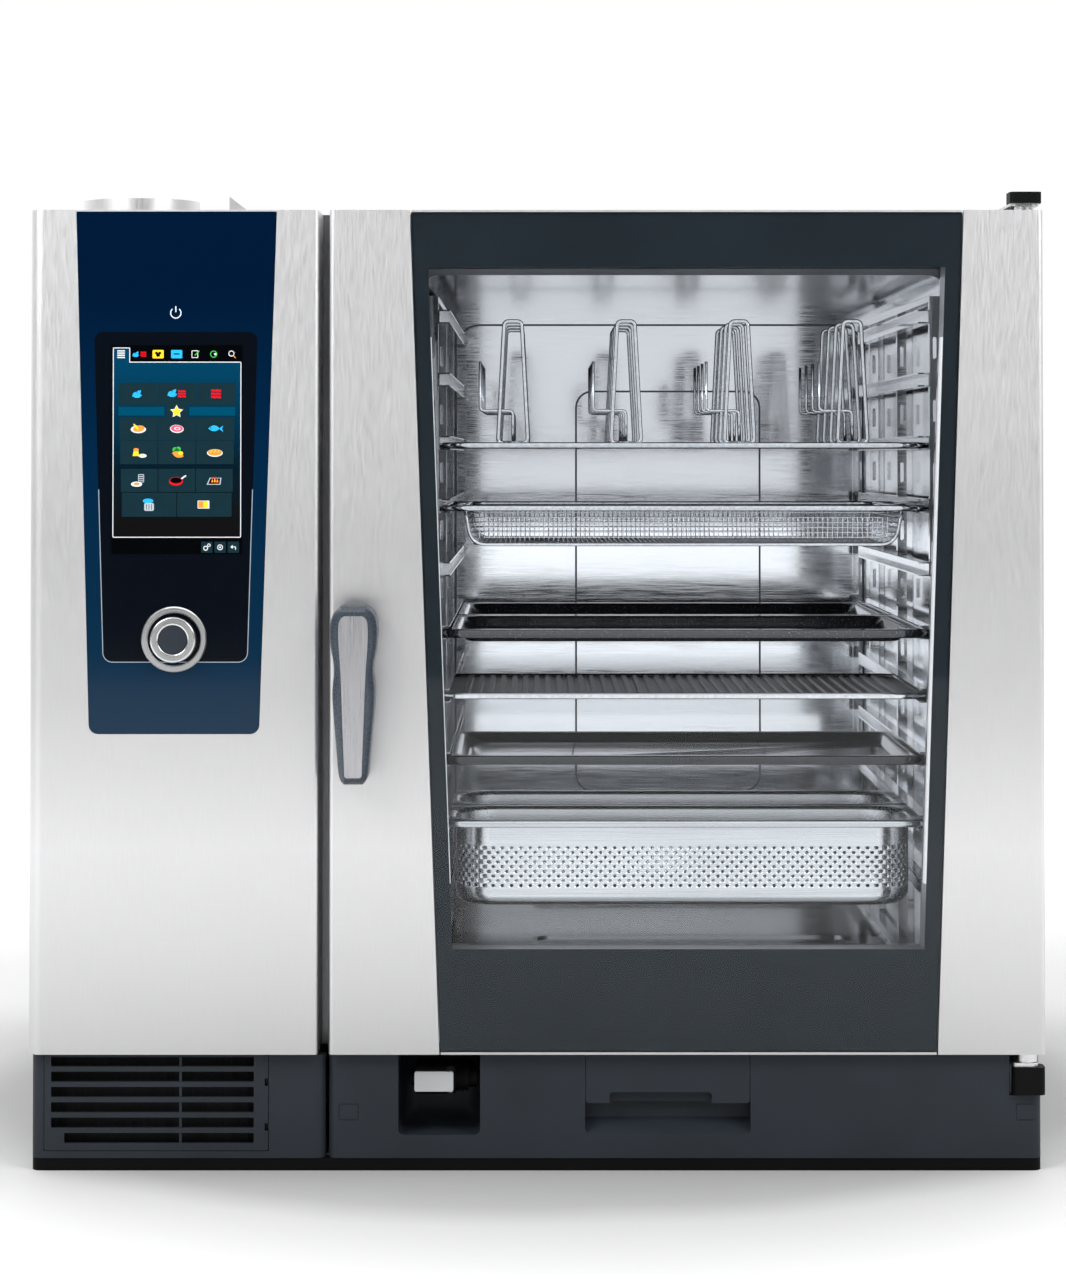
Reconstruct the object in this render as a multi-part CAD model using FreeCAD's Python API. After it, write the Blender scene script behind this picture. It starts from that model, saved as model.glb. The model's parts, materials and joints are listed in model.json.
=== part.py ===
import FreeCAD, Part
import math
import os

V = FreeCAD.Vector

# Double-width, ten-level combi steamer. Millimetres. +Z up, front at -Y, +X to the right of someone
# standing in front. The origin is under the middle of the oven, on the surface it stands on.

# ---- driving dimensions --------------------------------------------------------------------------
WIDTH = 1072.0
HEIGHT = 1014.0
PIPE_TOP_Z = 1052.0
FRONT_Y = -469.0
HANDLE_Y = -521.0
REAR_Y = 497.0
STUB_END_Y = 521.0
HALF = WIDTH / 2
SHEET = 1.5

# stacked heights of the body
FOOT_H = 13.0
BASE_TOP_Z = 121.5
BODY_Z = 124.0

# control column on the left, cabinet front plane and door
COLUMN_X = -230.5
CABINET_Y = -395.0
CABINET_T = 2.0
DOOR_X0 = -219.0
DOOR_T = 68.0
DOOR_BACK_Y = FRONT_Y + DOOR_T
HINGE_X = 518.0
HINGE_Y = FRONT_Y + 18.0
HINGE_PIN_R = 6.0

# front glass of the door: a tall trapezoid, wider at the top
GLASS_TOP = (-133.6, 451.4, 1011.4)
GLASS_BOTTOM = (-101.9, 421.9, 126.9)
CLEAR_TOP_Z = 953.5
CLEAR_BOTTOM_Z = 234.0
TUNNEL_INSET = 14.5
PANE_T = 4.0

# glass of the control panel: a trapezoid, wider at the top
CONTROL_TOP = (-486.3, -275.1, 1012.2)
CONTROL_BOTTOM = (-471.5, -293.0, 461.0)
DIAL_X = -382.3
DIAL_Z = 560.3
DISPLAY = (-449.3, -310.5, 650.0, 871.0)

# cooking cavity
CAVITY_X0 = -215.0
CAVITY_X1 = 442.0
CAVITY_Z0 = 147.0
CAVITY_Z1 = 949.0
CAVITY_BACK_Y = 346.0
MOUTH_X0 = -125.0
LINER_T = 2.0
BAFFLE_X = -130.0
TRAY_X = 160.0
TRAY_W = 530.0
TRAY_D = 650.0
SMALL_D = 324.5
SPIKE_STEP = 86.0
TRAY_Y = -375.0
LEVELS = 10
LEVEL_5_Z = 563.0
LEVEL_PITCH = 68.5
RAIL_UNDER = 8.0
RAIL_H = 15.0
RAIL_W = 13.0

# fans behind the baffle
FAN_Y = -25.0
FAN_ZS = (350.0, 750.0)
FAN_R = 165.0
SHAFT_R = 10.0
RUNNING = 0.05

# base front
COVER_Y = -457.0
COVER_T = 3.0
COVER_BACK_Y = -441.0
SEAM_X = (-222.8, -219.3)
FILTER = (-519.3, -283.3, 21.5, 121.3)
SHOWER_POCKET = (-146.0, -59.5, 37.5)
DRAWER = (52.2, 225.0, 71.0, 121.2)
SHOWER_Z = 92.6
HOSE_X = -75.0
HOSE_R = 9.0
REEL_R = 80.0
REEL_Y = -100.0

# connections at the back
DRAIN = (220.0, 70.0, 25.0)
WATER_X = (-420.0, -350.0)
WATER_Z = 72.0
WATER_R = 13.2
GLAND = (-480.0, 210.0)
STUB_START_Y = REAR_Y + 1
PIPE_WINDOWS = ((188.0, 252.0, 40.0, 102.0), (-446.0, -324.0, 50.0, 94.0))
WINDOW_XS = (188.0, 252.0, -446.0, -324.0)
WINDOW_ZS = (40.0, 50.0, 94.0, 102.0)
HOOD_X = (-344.0, -310.0)
HOOD_H = 30.0
FAR = 3000.0
PIPE = (-465.0, -82.0, 67.9, 66.4)

# door handle
HANDLE_X = -190.6
HANDLE_Z = 569.8
HANDLE_SHAFT_R = 8.0


def level_z(number):
    return LEVEL_5_Z + LEVEL_PITCH * (number - 5)


# ---- shape helpers -------------------------------------------------------------------------------
def block(x0, x1, y0, y1, z0, z1):
    return Part.makeBox(x1 - x0, y1 - y0, z1 - z0, V(x0, y0, z0))


def rod(radius, start, direction, length):
    return Part.makeCylinder(radius, length, V(*start), V(*direction))


def sleeve(outer, inner, start, direction, length):
    return rod(outer, start, direction, length).cut(rod(inner, start, direction, length))


def wire_bar(radius, start, end):
    run = V(*end) - V(*start)
    return Part.makeCylinder(radius, run.Length, V(*start), run)


def plate_xz(points, y0, y1):
    corners = [V(x, y0, z) for x, z in points]
    corners.append(corners[0])
    return Part.Face(Part.makePolygon(corners)).extrude(V(0, y1 - y0, 0))


def plate_yz(points, x0, x1):
    corners = [V(x0, y, z) for y, z in points]
    corners.append(corners[0])
    return Part.Face(Part.makePolygon(corners)).extrude(V(x1 - x0, 0, 0))


def joined(shapes):
    return shapes[0].multiFuse(shapes[1:]).removeSplitter()


def welded(shapes):
    """Pieces welded together: each later one is trimmed where it would run into an earlier one."""
    solids = []
    for shape in shapes:
        for done in solids:
            if shape.BoundBox.intersect(done.BoundBox):
                shape = shape.cut(done)
        solids += shape.Solids
    return Part.makeCompound(solids)


def in_sheets(shape, **planes):
    """Sheet metal parted at its bends: x, y and z list where the parting planes stand."""
    parts = shape.Solids
    for axis, places in planes.items():
        for place in places:
            parted = []
            for part in parts:
                low = getattr(part.BoundBox, axis.upper() + "Min")
                high = getattr(part.BoundBox, axis.upper() + "Max")
                if not low + 0.01 < place < high - 0.01:
                    parted.append(part)
                    continue
                ends = {"x": (-FAR, FAR), "y": (-FAR, FAR), "z": (-FAR, FAR)}
                ends[axis] = (-FAR, place)
                below = block(*ends["x"], *ends["y"], *ends["z"])
                parted += part.common(below).Solids + part.cut(below).Solids
            parts = parted
    return Part.makeCompound(parts)


def in_staves(shape, x, z, count=8):
    """A pipe along the y axis parted lengthwise into equal staves, like a barrel."""
    staves = []
    step = math.radians(360 / count)
    for number in range(count):
        corners = [(x, z)]
        for angle in (number * step, (number + 1) * step):
            corners.append((x + FAR * math.cos(angle), z + FAR * math.sin(angle)))
        staves += shape.common(plate_xz(corners, -FAR, FAR)).Solids
    return Part.makeCompound(staves)


def rounded(shape, radius, axis, keep=None):
    """Fillet the straight edges along an axis, or only those whose middle passes the test."""
    chosen = []
    for edge in shape.Edges:
        if edge.Curve.TypeId != "Part::GeomLine":
            continue
        run = edge.tangentAt(edge.FirstParameter)
        if abs(getattr(run, axis)) > 0.99 and (keep is None or keep(edge.CenterOfMass)):
            chosen.append(edge)
    return shape.makeFillet(radius, chosen)


def rounded_block(x0, x1, y0, y1, z0, z1, radius, axis):
    return rounded(block(x0, x1, y0, y1, z0, z1), radius, axis)


def trapezoid(top, bottom, inset, top_z, bottom_z):
    """Outline between two slanted sides, moved inwards by inset and cut at two heights."""
    def side(index, z):
        share = (z - bottom[2]) / (top[2] - bottom[2])
        return bottom[index] + share * (top[index] - bottom[index])
    return [
        (side(0, top_z) + inset, top_z),
        (side(1, top_z) - inset, top_z),
        (side(1, bottom_z) - inset, bottom_z),
        (side(0, bottom_z) + inset, bottom_z),
    ]


def door_glass_outline(inset, top_z=GLASS_TOP[2], bottom_z=GLASS_BOTTOM[2]):
    return trapezoid(GLASS_TOP, GLASS_BOTTOM, inset, top_z, bottom_z)


def control_outline(grow):
    return trapezoid(CONTROL_TOP, CONTROL_BOTTOM, -grow, CONTROL_TOP[2], CONTROL_BOTTOM[2] - grow)


def save(name, shape):
    shape.exportStep(os.path.join("parts", name + ".step"))


# ---- base ----------------------------------------------------------------------------------------
def foot_frame():
    outer = rounded_block(-HALF + 3, HALF - 3, COVER_Y + 1, REAR_Y - 2, 0, FOOT_H, 10, "z")
    inner = rounded_block(-HALF + 30, HALF - 30, COVER_Y + 30, REAR_Y - 30, -1, FOOT_H + 1, 8, "z")
    return outer.cut(inner)


def base_frame():
    inner_x = HALF - 4
    front = COVER_BACK_Y + 1
    rear = REAR_Y - 3
    bottom = block(-inner_x, inner_x, front, rear, FOOT_H, FOOT_H + 2)
    walls = [
        block(-inner_x, -inner_x + 2, front, rear, FOOT_H, BASE_TOP_Z),
        block(inner_x - 2, inner_x, front, rear, FOOT_H, BASE_TOP_Z),
        block(-240, -238, front, rear, FOOT_H, BASE_TOP_Z),
    ]
    deck = block(-240, inner_x, -380, rear - 2, BASE_TOP_Z - 2, BASE_TOP_Z)
    shelf = block(54, 223, -428, -205, 81, 83)
    shelf_leg_left = block(54, 56, -428, -205, FOOT_H + 1, 83)
    shelf_leg_right = block(221, 223, -428, -205, FOOT_H + 1, 83)
    hinge_post = block(502, 531, -440, -410, FOOT_H + 1, 109.9)
    reel_axle = rod(SHAFT_R, (HOSE_X + REEL_R, REEL_Y, FOOT_H + 1), (0, 0, 1), 100)
    reel_seat = rod(24, (HOSE_X + REEL_R, REEL_Y, FOOT_H + 1), (0, 0, 1), 27)
    fan_plate = block(-450, -350, -352, -349, FOOT_H + 1, BASE_TOP_Z)
    fan_axle = rod(4, (-400, -351, 68), (0, -1, 0), 45)
    rear_wall = block(-inner_x, inner_x, rear - 2, rear, FOOT_H, BASE_TOP_Z)
    for x0, x1, z0, z1 in PIPE_WINDOWS:
        rear_wall = rear_wall.cut(block(x0, x1, rear - 5, rear + 1, z0, z1))
    walls.append(in_sheets(rear_wall, z=WINDOW_ZS, x=WINDOW_XS))
    frame = welded([bottom, deck, shelf, shelf_leg_left, shelf_leg_right, hinge_post]
                   + walls + [reel_axle, reel_seat, fan_plate, fan_axle])
    return frame.cut(rod(46, (TRAY_X, 0, 100), (0, 0, 1), 40))


def base_cover_left():
    shell = rounded_block(-HALF + 3, SEAM_X[0], COVER_Y, COVER_BACK_Y + 12, FOOT_H + 0.3, BASE_TOP_Z, 10, "z")
    shell = shell.cut(block(-HALF, SEAM_X[0] + 1, COVER_BACK_Y, COVER_BACK_Y + 20, 0, BASE_TOP_Z + 1))
    hollow = rounded_block(-HALF + 6, SEAM_X[0] - 3, COVER_Y + COVER_T, COVER_BACK_Y + 20,
                           FOOT_H + 3.3, BASE_TOP_Z - 3, 7, "z")
    window = block(FILTER[0] - 0.6, FILTER[1] + 0.6, COVER_Y - 5, COVER_BACK_Y + 1,
                   FILTER[2] - 0.6, BASE_TOP_Z + 1)
    return shell.cut(hollow).cut(window)


def base_cover_right():
    right = HALF - 3
    shell = rounded_block(SEAM_X[1], right, COVER_Y, COVER_BACK_Y + 12, FOOT_H + 0.3, BASE_TOP_Z, 10, "z")
    shell = shell.cut(block(SEAM_X[1] - 1, HALF, COVER_BACK_Y, COVER_BACK_Y + 20, 0, BASE_TOP_Z + 1))
    hollow = rounded_block(SEAM_X[1] + 3, right - 3, COVER_Y + COVER_T, COVER_BACK_Y + 20,
                           FOOT_H + 3.3, BASE_TOP_Z - 3, 7, "z")
    cover = shell.cut(hollow)
    x0, x1, z0 = SHOWER_POCKET
    pocket_skin = block(x0 - 3, x1 + 3, COVER_Y + 1, -382, z0 - 3, BASE_TOP_Z)
    recess_skin = block(DRAWER[0] - 4, DRAWER[1] + 4, COVER_Y + 1, -430, 35, DRAWER[2] - 0.6)
    cover = joined([cover, pocket_skin, recess_skin])
    pocket = rounded_block(x0, x1, COVER_Y - 30, -385, z0, BASE_TOP_Z + 30, 6, "y")
    pocket = rounded(pocket, 20, "z", lambda c: c.x > x1 - 1 and c.y > -390)
    finger_floor = [(COVER_Y - 1, 38), (-433, 52), (-433, DRAWER[2] + 1), (COVER_Y - 1, DRAWER[2] + 1)]
    finger_pocket = plate_yz(finger_floor, DRAWER[0] - 1, DRAWER[1] + 1)
    finger_mouth = rounded_block(DRAWER[0] - 1, DRAWER[1] + 1, COVER_Y - 5, -425, 38, DRAWER[2] + 20, 6, "y")
    finger_pocket = finger_pocket.common(finger_mouth)
    drawer_window = block(DRAWER[0] - 0.6, DRAWER[1] + 0.6, COVER_Y - 1, -425,
                          DRAWER[2] - 0.6, BASE_TOP_Z + 1)
    hinge_notch = block(499, HALF, COVER_Y - 1, COVER_BACK_Y + 1, 79, BASE_TOP_Z + 1)
    hose_hole = rod(HOSE_R + 2, (HOSE_X, -400, SHOWER_Z), (0, 1, 0), 22)
    for cutter in (pocket, finger_pocket, drawer_window, hinge_notch, hose_hole):
        cover = cover.cut(cutter)
    for x in (-208.7, 505.9):
        groove = rounded_block(x, x + 21, COVER_Y - 1, COVER_Y + 0.8, 53, 70.5, 2, "y")
        land = rounded_block(x + 0.8, x + 20.2, COVER_Y - 2, COVER_Y + 1, 53.8, 69.7, 1.4, "y")
        cover = cover.cut(groove.cut(land))
    return cover


def air_filter():
    x0, x1, z0, z1 = FILTER
    body = rounded_block(x0, x1, COVER_Y - 1, -432, z0, z1, 2, "y")
    hollow = block(x0 + 3, x1 - 3, COVER_Y + 3, -435, z0 + 3, z1 - 3)
    body = body.cut(hollow)
    rear_mesh = block(x0 + 8, x1 - 8, -436, -431, z0 + 8, z1 - 8)
    body = body.cut(rear_mesh)
    first_z = 109.6
    for number in range(6):
        low = first_z - 16.1 * number
        start = x0 + 7 if number < 5 else x0 + 21
        slot = rounded_block(start, x1 - 15, COVER_Y - 3, COVER_Y + 5, low, low + 10.8, 1.5, "y")
        body = body.cut(slot)
    rib = block(-377, -374.5, COVER_Y, COVER_Y + 3, z0 + 1, z1 - 1)
    body = body.fuse(rib)
    for z in (46, 93):
        notch = block(x1 - 3.5, x1 + 1, COVER_Y - 2, COVER_Y + 6, z - 4, z + 4)
        body = body.cut(notch)
    return body


def care_drawer():
    x0, x1, z0, z1 = DRAWER
    front = rounded(block(x0, x1, COVER_Y, COVER_Y + 4, z0, z1), 3, "y", lambda c: c.z < z0 + 1)
    notch = rounded_block(77, 185, COVER_Y - 1, COVER_Y + 5, z0 - 10, 82.6, 4, "y")
    front = front.cut(notch)
    tray = block(x0 + 6, x1 - 6, COVER_Y + 3, -215, 83.6, 117)
    hollow = block(x0 + 8, x1 - 8, COVER_Y + 6, -217, 85.6, 120)
    notch_back = block(74, 188, COVER_Y + 12, COVER_Y + 14, z0, 86)
    return joined([front, tray.cut(hollow), notch_back])


def shower_head():
    body = rounded_block(-128, -86, -444, -404, 77, 108.3, 6, "x")
    neck = rod(15, (-87, -425, SHOWER_Z), (1, 0, 0), 14.5)
    grooves = [sleeve(17, 13.4, (-84 + 3.5 * i, -425, SHOWER_Z), (1, 0, 0), 1.6) for i in range(3)]
    elbow = rod(11, (HOSE_X, -425, SHOWER_Z), (0, 1, 0), 31)
    cuff = rod(11, (-76, -425, SHOWER_Z), (1, 0, 0), 13)
    nozzle = sleeve(9, 6, (-133, -425, SHOWER_Z), (1, 0, 0), 6)
    head = joined([body, neck, elbow, cuff, nozzle])
    for groove in grooves:
        head = head.cut(groove)
    lug_low = block(-95, -87, -453.4, -435, 77, 81.2)
    lug_high = block(-95, -87, -453.4, -435, 104, 108.3)
    head = joined([head, lug_low, lug_high])
    return head.cut(rod(1.55, (-91, -450.4, 70), (0, 0, 1), 50))


def shower_trigger():
    plate = rounded_block(-129, -88, -452.6, -448.4, 82.2, 103, 2, "y")
    pin = rod(1.5, (-91, -450.4, 77.2), (0, 0, 1), 30.8)
    return plate.fuse(pin)


def shower_hose():
    return rod(HOSE_R, (HOSE_X, -394, SHOWER_Z), (0, 1, 0), REEL_Y + 394)


def hose_drum():
    x = HOSE_X + REEL_R
    core = rod(REEL_R - HOSE_R - 0.4, (x, REEL_Y, 44), (0, 0, 1), 62)
    low_flange = rod(95, (x, REEL_Y, 42), (0, 0, 1), 2)
    high_flange = rod(95, (x, REEL_Y, 104), (0, 0, 1), 2)
    turns = [Part.makeTorus(REEL_R, HOSE_R, V(x, REEL_Y, z)) for z in (53.5, 72.6)]
    drum = joined([core, low_flange, high_flange] + turns)
    return drum.cut(rod(SHAFT_R + RUNNING, (x, REEL_Y, 40), (0, 0, 1), 80))


def cooling_fan():
    hub = rod(14, (-400, -396, 68), (0, 1, 0), 24)
    rim = sleeve(42, 40, (-400, -396, 68), (0, 1, 0), 24)
    blades = []
    for number in range(7):
        blade = block(-1.2, 1.2, -12, 12, 12, 41)
        blade.rotate(V(0, 0, 0), V(0, 0, 1), 35)
        blade.rotate(V(0, 0, 0), V(0, 1, 0), number * 360 / 7)
        blade.translate(V(-400, -384, 68))
        blades.append(blade)
    fan = joined([hub, rim] + blades)
    fan = fan.common(block(-445, -355, -396, -372, 20, 115))
    return fan.cut(rod(4 + RUNNING, (-400, -371, 68), (0, -1, 0), 31))


# ---- casing --------------------------------------------------------------------------------------
def side_panel(side):
    x0 = side * (HALF - SHEET)
    x1 = side * HALF
    panel = block(min(x0, x1), max(x0, x1), CABINET_Y + CABINET_T, REAR_Y - SHEET, FOOT_H + 0.3, HEIGHT)
    if side < 0:
        for row in range(12):
            for column in range(2):
                y = 180 + 110 * column
                z = 170 + 14 * row
                panel = panel.cut(rounded_block(-HALF - 1, -HALF + 3, y, y + 90, z, z + 5, 2.4, "x"))
    return panel


def top_panel():
    panel = block(-HALF + SHEET, HALF - SHEET, CABINET_Y + CABINET_T, REAR_Y - SHEET, HEIGHT - SHEET, HEIGHT)
    panel = panel.cut(rod(PIPE[2] + 0.3, (PIPE[0], PIPE[1], HEIGHT - 5), (0, 0, 1), 10))
    return panel.cut(block(HOOD_X[0] + 4, HOOD_X[1] - 4, -265, -225, HEIGHT - 5, HEIGHT + 5))


def rear_panel():
    panel = block(-HALF, HALF, REAR_Y - SHEET, REAR_Y, FOOT_H + 0.3, HEIGHT)
    for x0, x1, z0, z1 in PIPE_WINDOWS:
        panel = panel.cut(block(x0, x1, REAR_Y - 5, REAR_Y + 1, z0, z1))
    panel = panel.cut(rod(16.2, (GLAND[0], REAR_Y - 5, GLAND[1]), (0, 1, 0), 10))
    for row in range(14):
        z = 640 + 16 * row
        for x in (-500, -380):
            panel = panel.cut(rounded_block(x, x + 100, REAR_Y - 5, REAR_Y + 1, z, z + 5, 2.4, "y"))
    return in_sheets(panel, z=WINDOW_ZS, x=WINDOW_XS)


def column_panel():
    x0 = -HALF
    outer = block(x0, COLUMN_X, FRONT_Y, CABINET_Y + CABINET_T, BODY_Z, HEIGHT)
    outer = rounded(outer, 14, "z", lambda c: c.x < x0 + 1 and c.y < FRONT_Y + 1)
    outer = rounded(outer, 4, "z", lambda c: c.x > COLUMN_X - 1 and c.y < FRONT_Y + 1)
    inner = block(x0 + SHEET, COLUMN_X - SHEET, FRONT_Y + SHEET, CABINET_Y + 10,
                  BODY_Z + SHEET, HEIGHT - SHEET)
    inner = rounded(inner, 12.5, "z", lambda c: c.x < x0 + 4 and c.y < FRONT_Y + 4)
    inner = rounded(inner, 2.5, "z", lambda c: c.x > COLUMN_X - 4 and c.y < FRONT_Y + 4)
    opening = plate_xz(control_outline(0.5), FRONT_Y - 5, FRONT_Y + 5)
    opening = rounded(opening, 10, "y", lambda c: c.z < CONTROL_BOTTOM[2] + 5)
    return in_sheets(
        outer.cut(inner).cut(opening),
        y=[FRONT_Y + SHEET, FRONT_Y + 14],
        z=[BODY_Z + SHEET, CONTROL_BOTTOM[2], HEIGHT - SHEET],
        x=[x0 + 14, DIAL_X, COLUMN_X - 4],
    )


def cabinet_front():
    plate = block(COLUMN_X, HALF, CABINET_Y, CABINET_Y + CABINET_T, BODY_Z, HEIGHT)
    mouth = rounded_block(MOUTH_X0, CAVITY_X1, CABINET_Y - 5, CABINET_Y + 5, CAVITY_Z0, CAVITY_Z1, 20, "y")
    return in_sheets(
        plate.cut(mouth),
        x=[MOUTH_X0 + 20, CAVITY_X1 - 20],
        z=[CAVITY_Z0 + 20, CAVITY_Z1 - 20],
    )


def exhaust_pipe():
    x, y, outer, inner = PIPE
    pipe = rod(outer, (x, y, 985), (0, 0, 1), PIPE_TOP_Z - 985)
    flange = block(x - outer - 0.5, x + 76, y - 76, y + 76, HEIGHT - 4, HEIGHT - SHEET - 0.2)
    return pipe.fuse(flange).cut(rod(inner, (x, y, 980), (0, 0, 1), 100))


def intake_hood():
    """A cowl that slopes down to the right; it draws air in through its open rear end."""
    x0, x1 = HOOD_X
    outline = [(x0, HEIGHT), (x1, HEIGHT), (x1, HEIGHT + 4), (x0, HEIGHT + HOOD_H)]
    inside = [
        (x0 + SHEET, HEIGHT - 1),
        (x1 - SHEET, HEIGHT - 1),
        (x1 - SHEET, HEIGHT + 3.5),
        (x0 + SHEET, HEIGHT + HOOD_H - 3),
    ]
    hood = plate_xz(outline, -270, -218).cut(plate_xz(inside, -270 + SHEET, -217))
    return in_sheets(hood, y=[-270 + SHEET], x=[x0 + SHEET, x1 - SHEET])


def casing_screws():
    screws = []
    for x in (-520, -260, 0, 260, 520):
        for z in (30, HEIGHT - 20):
            screws.append(rod(4.5, (x, REAR_Y, z), (0, 1, 0), 2))
    for z in (350, 680):
        for x in (-520, 520):
            screws.append(rod(4.5, (x, REAR_Y, z), (0, 1, 0), 2))
    for x in (-520, -170, 180, 480):
        screws.append(rod(4.5, (x, REAR_Y - 20, HEIGHT), (0, 0, 1), 2))
    heads = [screw.makeChamfer(0.8, [screw.Edges[0]]) for screw in screws]
    return Part.makeCompound(heads)


# ---- control column ------------------------------------------------------------------------------
def control_glass():
    glass = plate_xz(control_outline(0), FRONT_Y, FRONT_Y + PANE_T)
    glass = rounded(glass, 9.5, "y", lambda c: c.z < CONTROL_BOTTOM[2] + 5)
    return glass.cut(rod(26, (DIAL_X, FRONT_Y - 5, DIAL_Z), (0, 1, 0), 20))


def display_module():
    back = FRONT_Y + PANE_T
    plate = plate_xz(trapezoid(CONTROL_TOP, CONTROL_BOTTOM, -8, 1011, CONTROL_BOTTOM[2] - 8), back, back + 2)
    screen = block(DISPLAY[0], DISPLAY[1], back + 1, back + 16, DISPLAY[2], DISPLAY[3])
    board = block(-470, -290, back + 20, back + 22, 600, 900)
    posts = [rod(3, (x, back + 1, z), (0, 1, 0), 20) for x in (-462, -298) for z in (630, 890)]
    encoder = rod(20, (DIAL_X, back + 1, DIAL_Z), (0, 1, 0), 20)
    module = joined([plate, screen, encoder, board] + posts)
    return module.cut(rod(5 + RUNNING, (DIAL_X, FRONT_Y, DIAL_Z), (0, 1, 0), 40))


def dial_bezel():
    ring = sleeve(34.5, 27.7, (DIAL_X, FRONT_Y - 3, DIAL_Z), (0, 1, 0), 3)
    return ring.makeChamfer(1.2, [e for e in ring.Edges if abs(e.CenterOfMass.y - (FRONT_Y - 3)) < 0.1])


def dial_core():
    cap = rod(15, (DIAL_X, FRONT_Y - 14, DIAL_Z), (0, 1, 0), 13)
    cap = cap.makeFillet(1.5, [e for e in cap.Edges if abs(e.CenterOfMass.y - (FRONT_Y - 14)) < 0.1])
    flange = rod(20, (DIAL_X, FRONT_Y - 1.2, DIAL_Z), (0, 1, 0), 1.5)
    shaft = rod(5, (DIAL_X, FRONT_Y - 1, DIAL_Z), (0, 1, 0), 22)
    return joined([cap, flange, shaft])


def dial_ring():
    ring = sleeve(24.1, 15 + RUNNING, (DIAL_X, FRONT_Y - 15, DIAL_Z), (0, 1, 0), 13.5)
    return ring.makeFillet(2, [e for e in ring.Edges if abs(e.CenterOfMass.y - (FRONT_Y - 15)) < 0.1])


# ---- cavity --------------------------------------------------------------------------------------
def cavity_liner():
    front = CABINET_Y + CABINET_T
    outer = rounded_block(CAVITY_X0 - LINER_T, CAVITY_X1 + LINER_T, front, CAVITY_BACK_Y + LINER_T,
                          CAVITY_Z0 - LINER_T, CAVITY_Z1 + LINER_T, 22, "y")
    inner = rounded_block(CAVITY_X0, CAVITY_X1, front - 1, CAVITY_BACK_Y, CAVITY_Z0, CAVITY_Z1, 20, "y")
    liner = outer.cut(inner)
    back_frame = rounded_block(-105, 425, CAVITY_BACK_Y - 2, CAVITY_BACK_Y + 1, 175, 924, 30, "y")
    back_step = rounded_block(-93, 413, CAVITY_BACK_Y - 3, CAVITY_BACK_Y, 187, 912, 22, "y")
    centre = rounded_block(52, 290, CAVITY_BACK_Y - 4, CAVITY_BACK_Y + 1, 318, 837, 20, "y")
    liner = joined([liner, back_frame.cut(back_step), centre])
    floor_rim = rounded_block(-5, 400, -250, 209, CAVITY_Z0 - 1, CAVITY_Z0 + 2.5, 25, "z")
    floor_dip = rounded_block(1, 394, -244, 203, CAVITY_Z0, CAVITY_Z0 + 3, 19, "z")
    liner = liner.fuse(floor_rim.cut(floor_dip))
    liner = liner.cut(rod(44.5, (TRAY_X, 0, CAVITY_Z0 - 5), (0, 0, 1), 10))
    for z in FAN_ZS:
        liner = liner.cut(rod(14, (CAVITY_X0 - 5, FAN_Y, z), (1, 0, 0), 10))
    liner = liner.cut(rod(14.5, (CAVITY_X0 - 5, 200, 520), (1, 0, 0), 10))
    return in_sheets(
        liner,
        y=[CAVITY_BACK_Y - 4],
        x=[CAVITY_X0 + 5.9, CAVITY_X0 + 20, CAVITY_X1 - 20, CAVITY_X1 - 5.9],
        z=[CAVITY_Z0 + 20, CAVITY_Z1 - 20],
    )


def cavity_insulation():
    gap = 0.3
    outer = block(-243, 510, CABINET_Y + CABINET_T + gap, 396, BODY_Z, 985)
    inner = rounded_block(CAVITY_X0 - LINER_T - gap, CAVITY_X1 + LINER_T + gap, CABINET_Y - 5,
                          CAVITY_BACK_Y + LINER_T + gap, CAVITY_Z0 - LINER_T - gap,
                          CAVITY_Z1 + LINER_T + gap, 22, "y")
    wool = outer.cut(inner)
    for z in FAN_ZS:
        wool = wool.cut(rod(14, (-250, FAN_Y, z), (1, 0, 0), 40))
    wool = wool.cut(rod(15, (-250, 200, 520), (1, 0, 0), 40))
    return wool.cut(rod(46, (TRAY_X, 0, 110), (0, 0, 1), 50))


def air_baffle():
    plate = block(BAFFLE_X, BAFFLE_X + SHEET, -372, 325, 158, 940)
    for z in FAN_ZS:
        for row in range(-4, 5):
            half = math.sqrt(120 ** 2 - (24 * row) ** 2)
            slot = rounded_block(BAFFLE_X - 5, BAFFLE_X + 5, FAN_Y - half, FAN_Y + half,
                                 z + 24 * row - 7, z + 24 * row + 7, 5, "x")
            plate = plate.cut(slot)
        plate = plate.fuse(block(BAFFLE_X, BAFFLE_X + SHEET, FAN_Y - 6, FAN_Y + 6, z - 120, z + 120))
    length = BAFFLE_X - CAVITY_X0 + 1
    posts = [rod(5, (CAVITY_X0, y, z), (1, 0, 0), length) for y in (-350, 300) for z in (180, 915)]
    return welded([plate] + posts)


def heater_coils():
    coils = []
    for z in FAN_ZS:
        rings = [Part.makeTorus(185, 4.5, V(x, FAN_Y, z), V(1, 0, 0)) for x in (-195, -180, -165)]
        bars = []
        for quarter in range(4):
            angle = math.radians(45 + 90 * quarter)
            y = FAN_Y + 185 * math.cos(angle)
            bars.append(rod(2.5, (CAVITY_X0 + 0.2, y, z + 185 * math.sin(angle)), (1, 0, 0), 52))
        coils.append(joined(rings + bars))
    return Part.makeCompound(coils)


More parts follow.
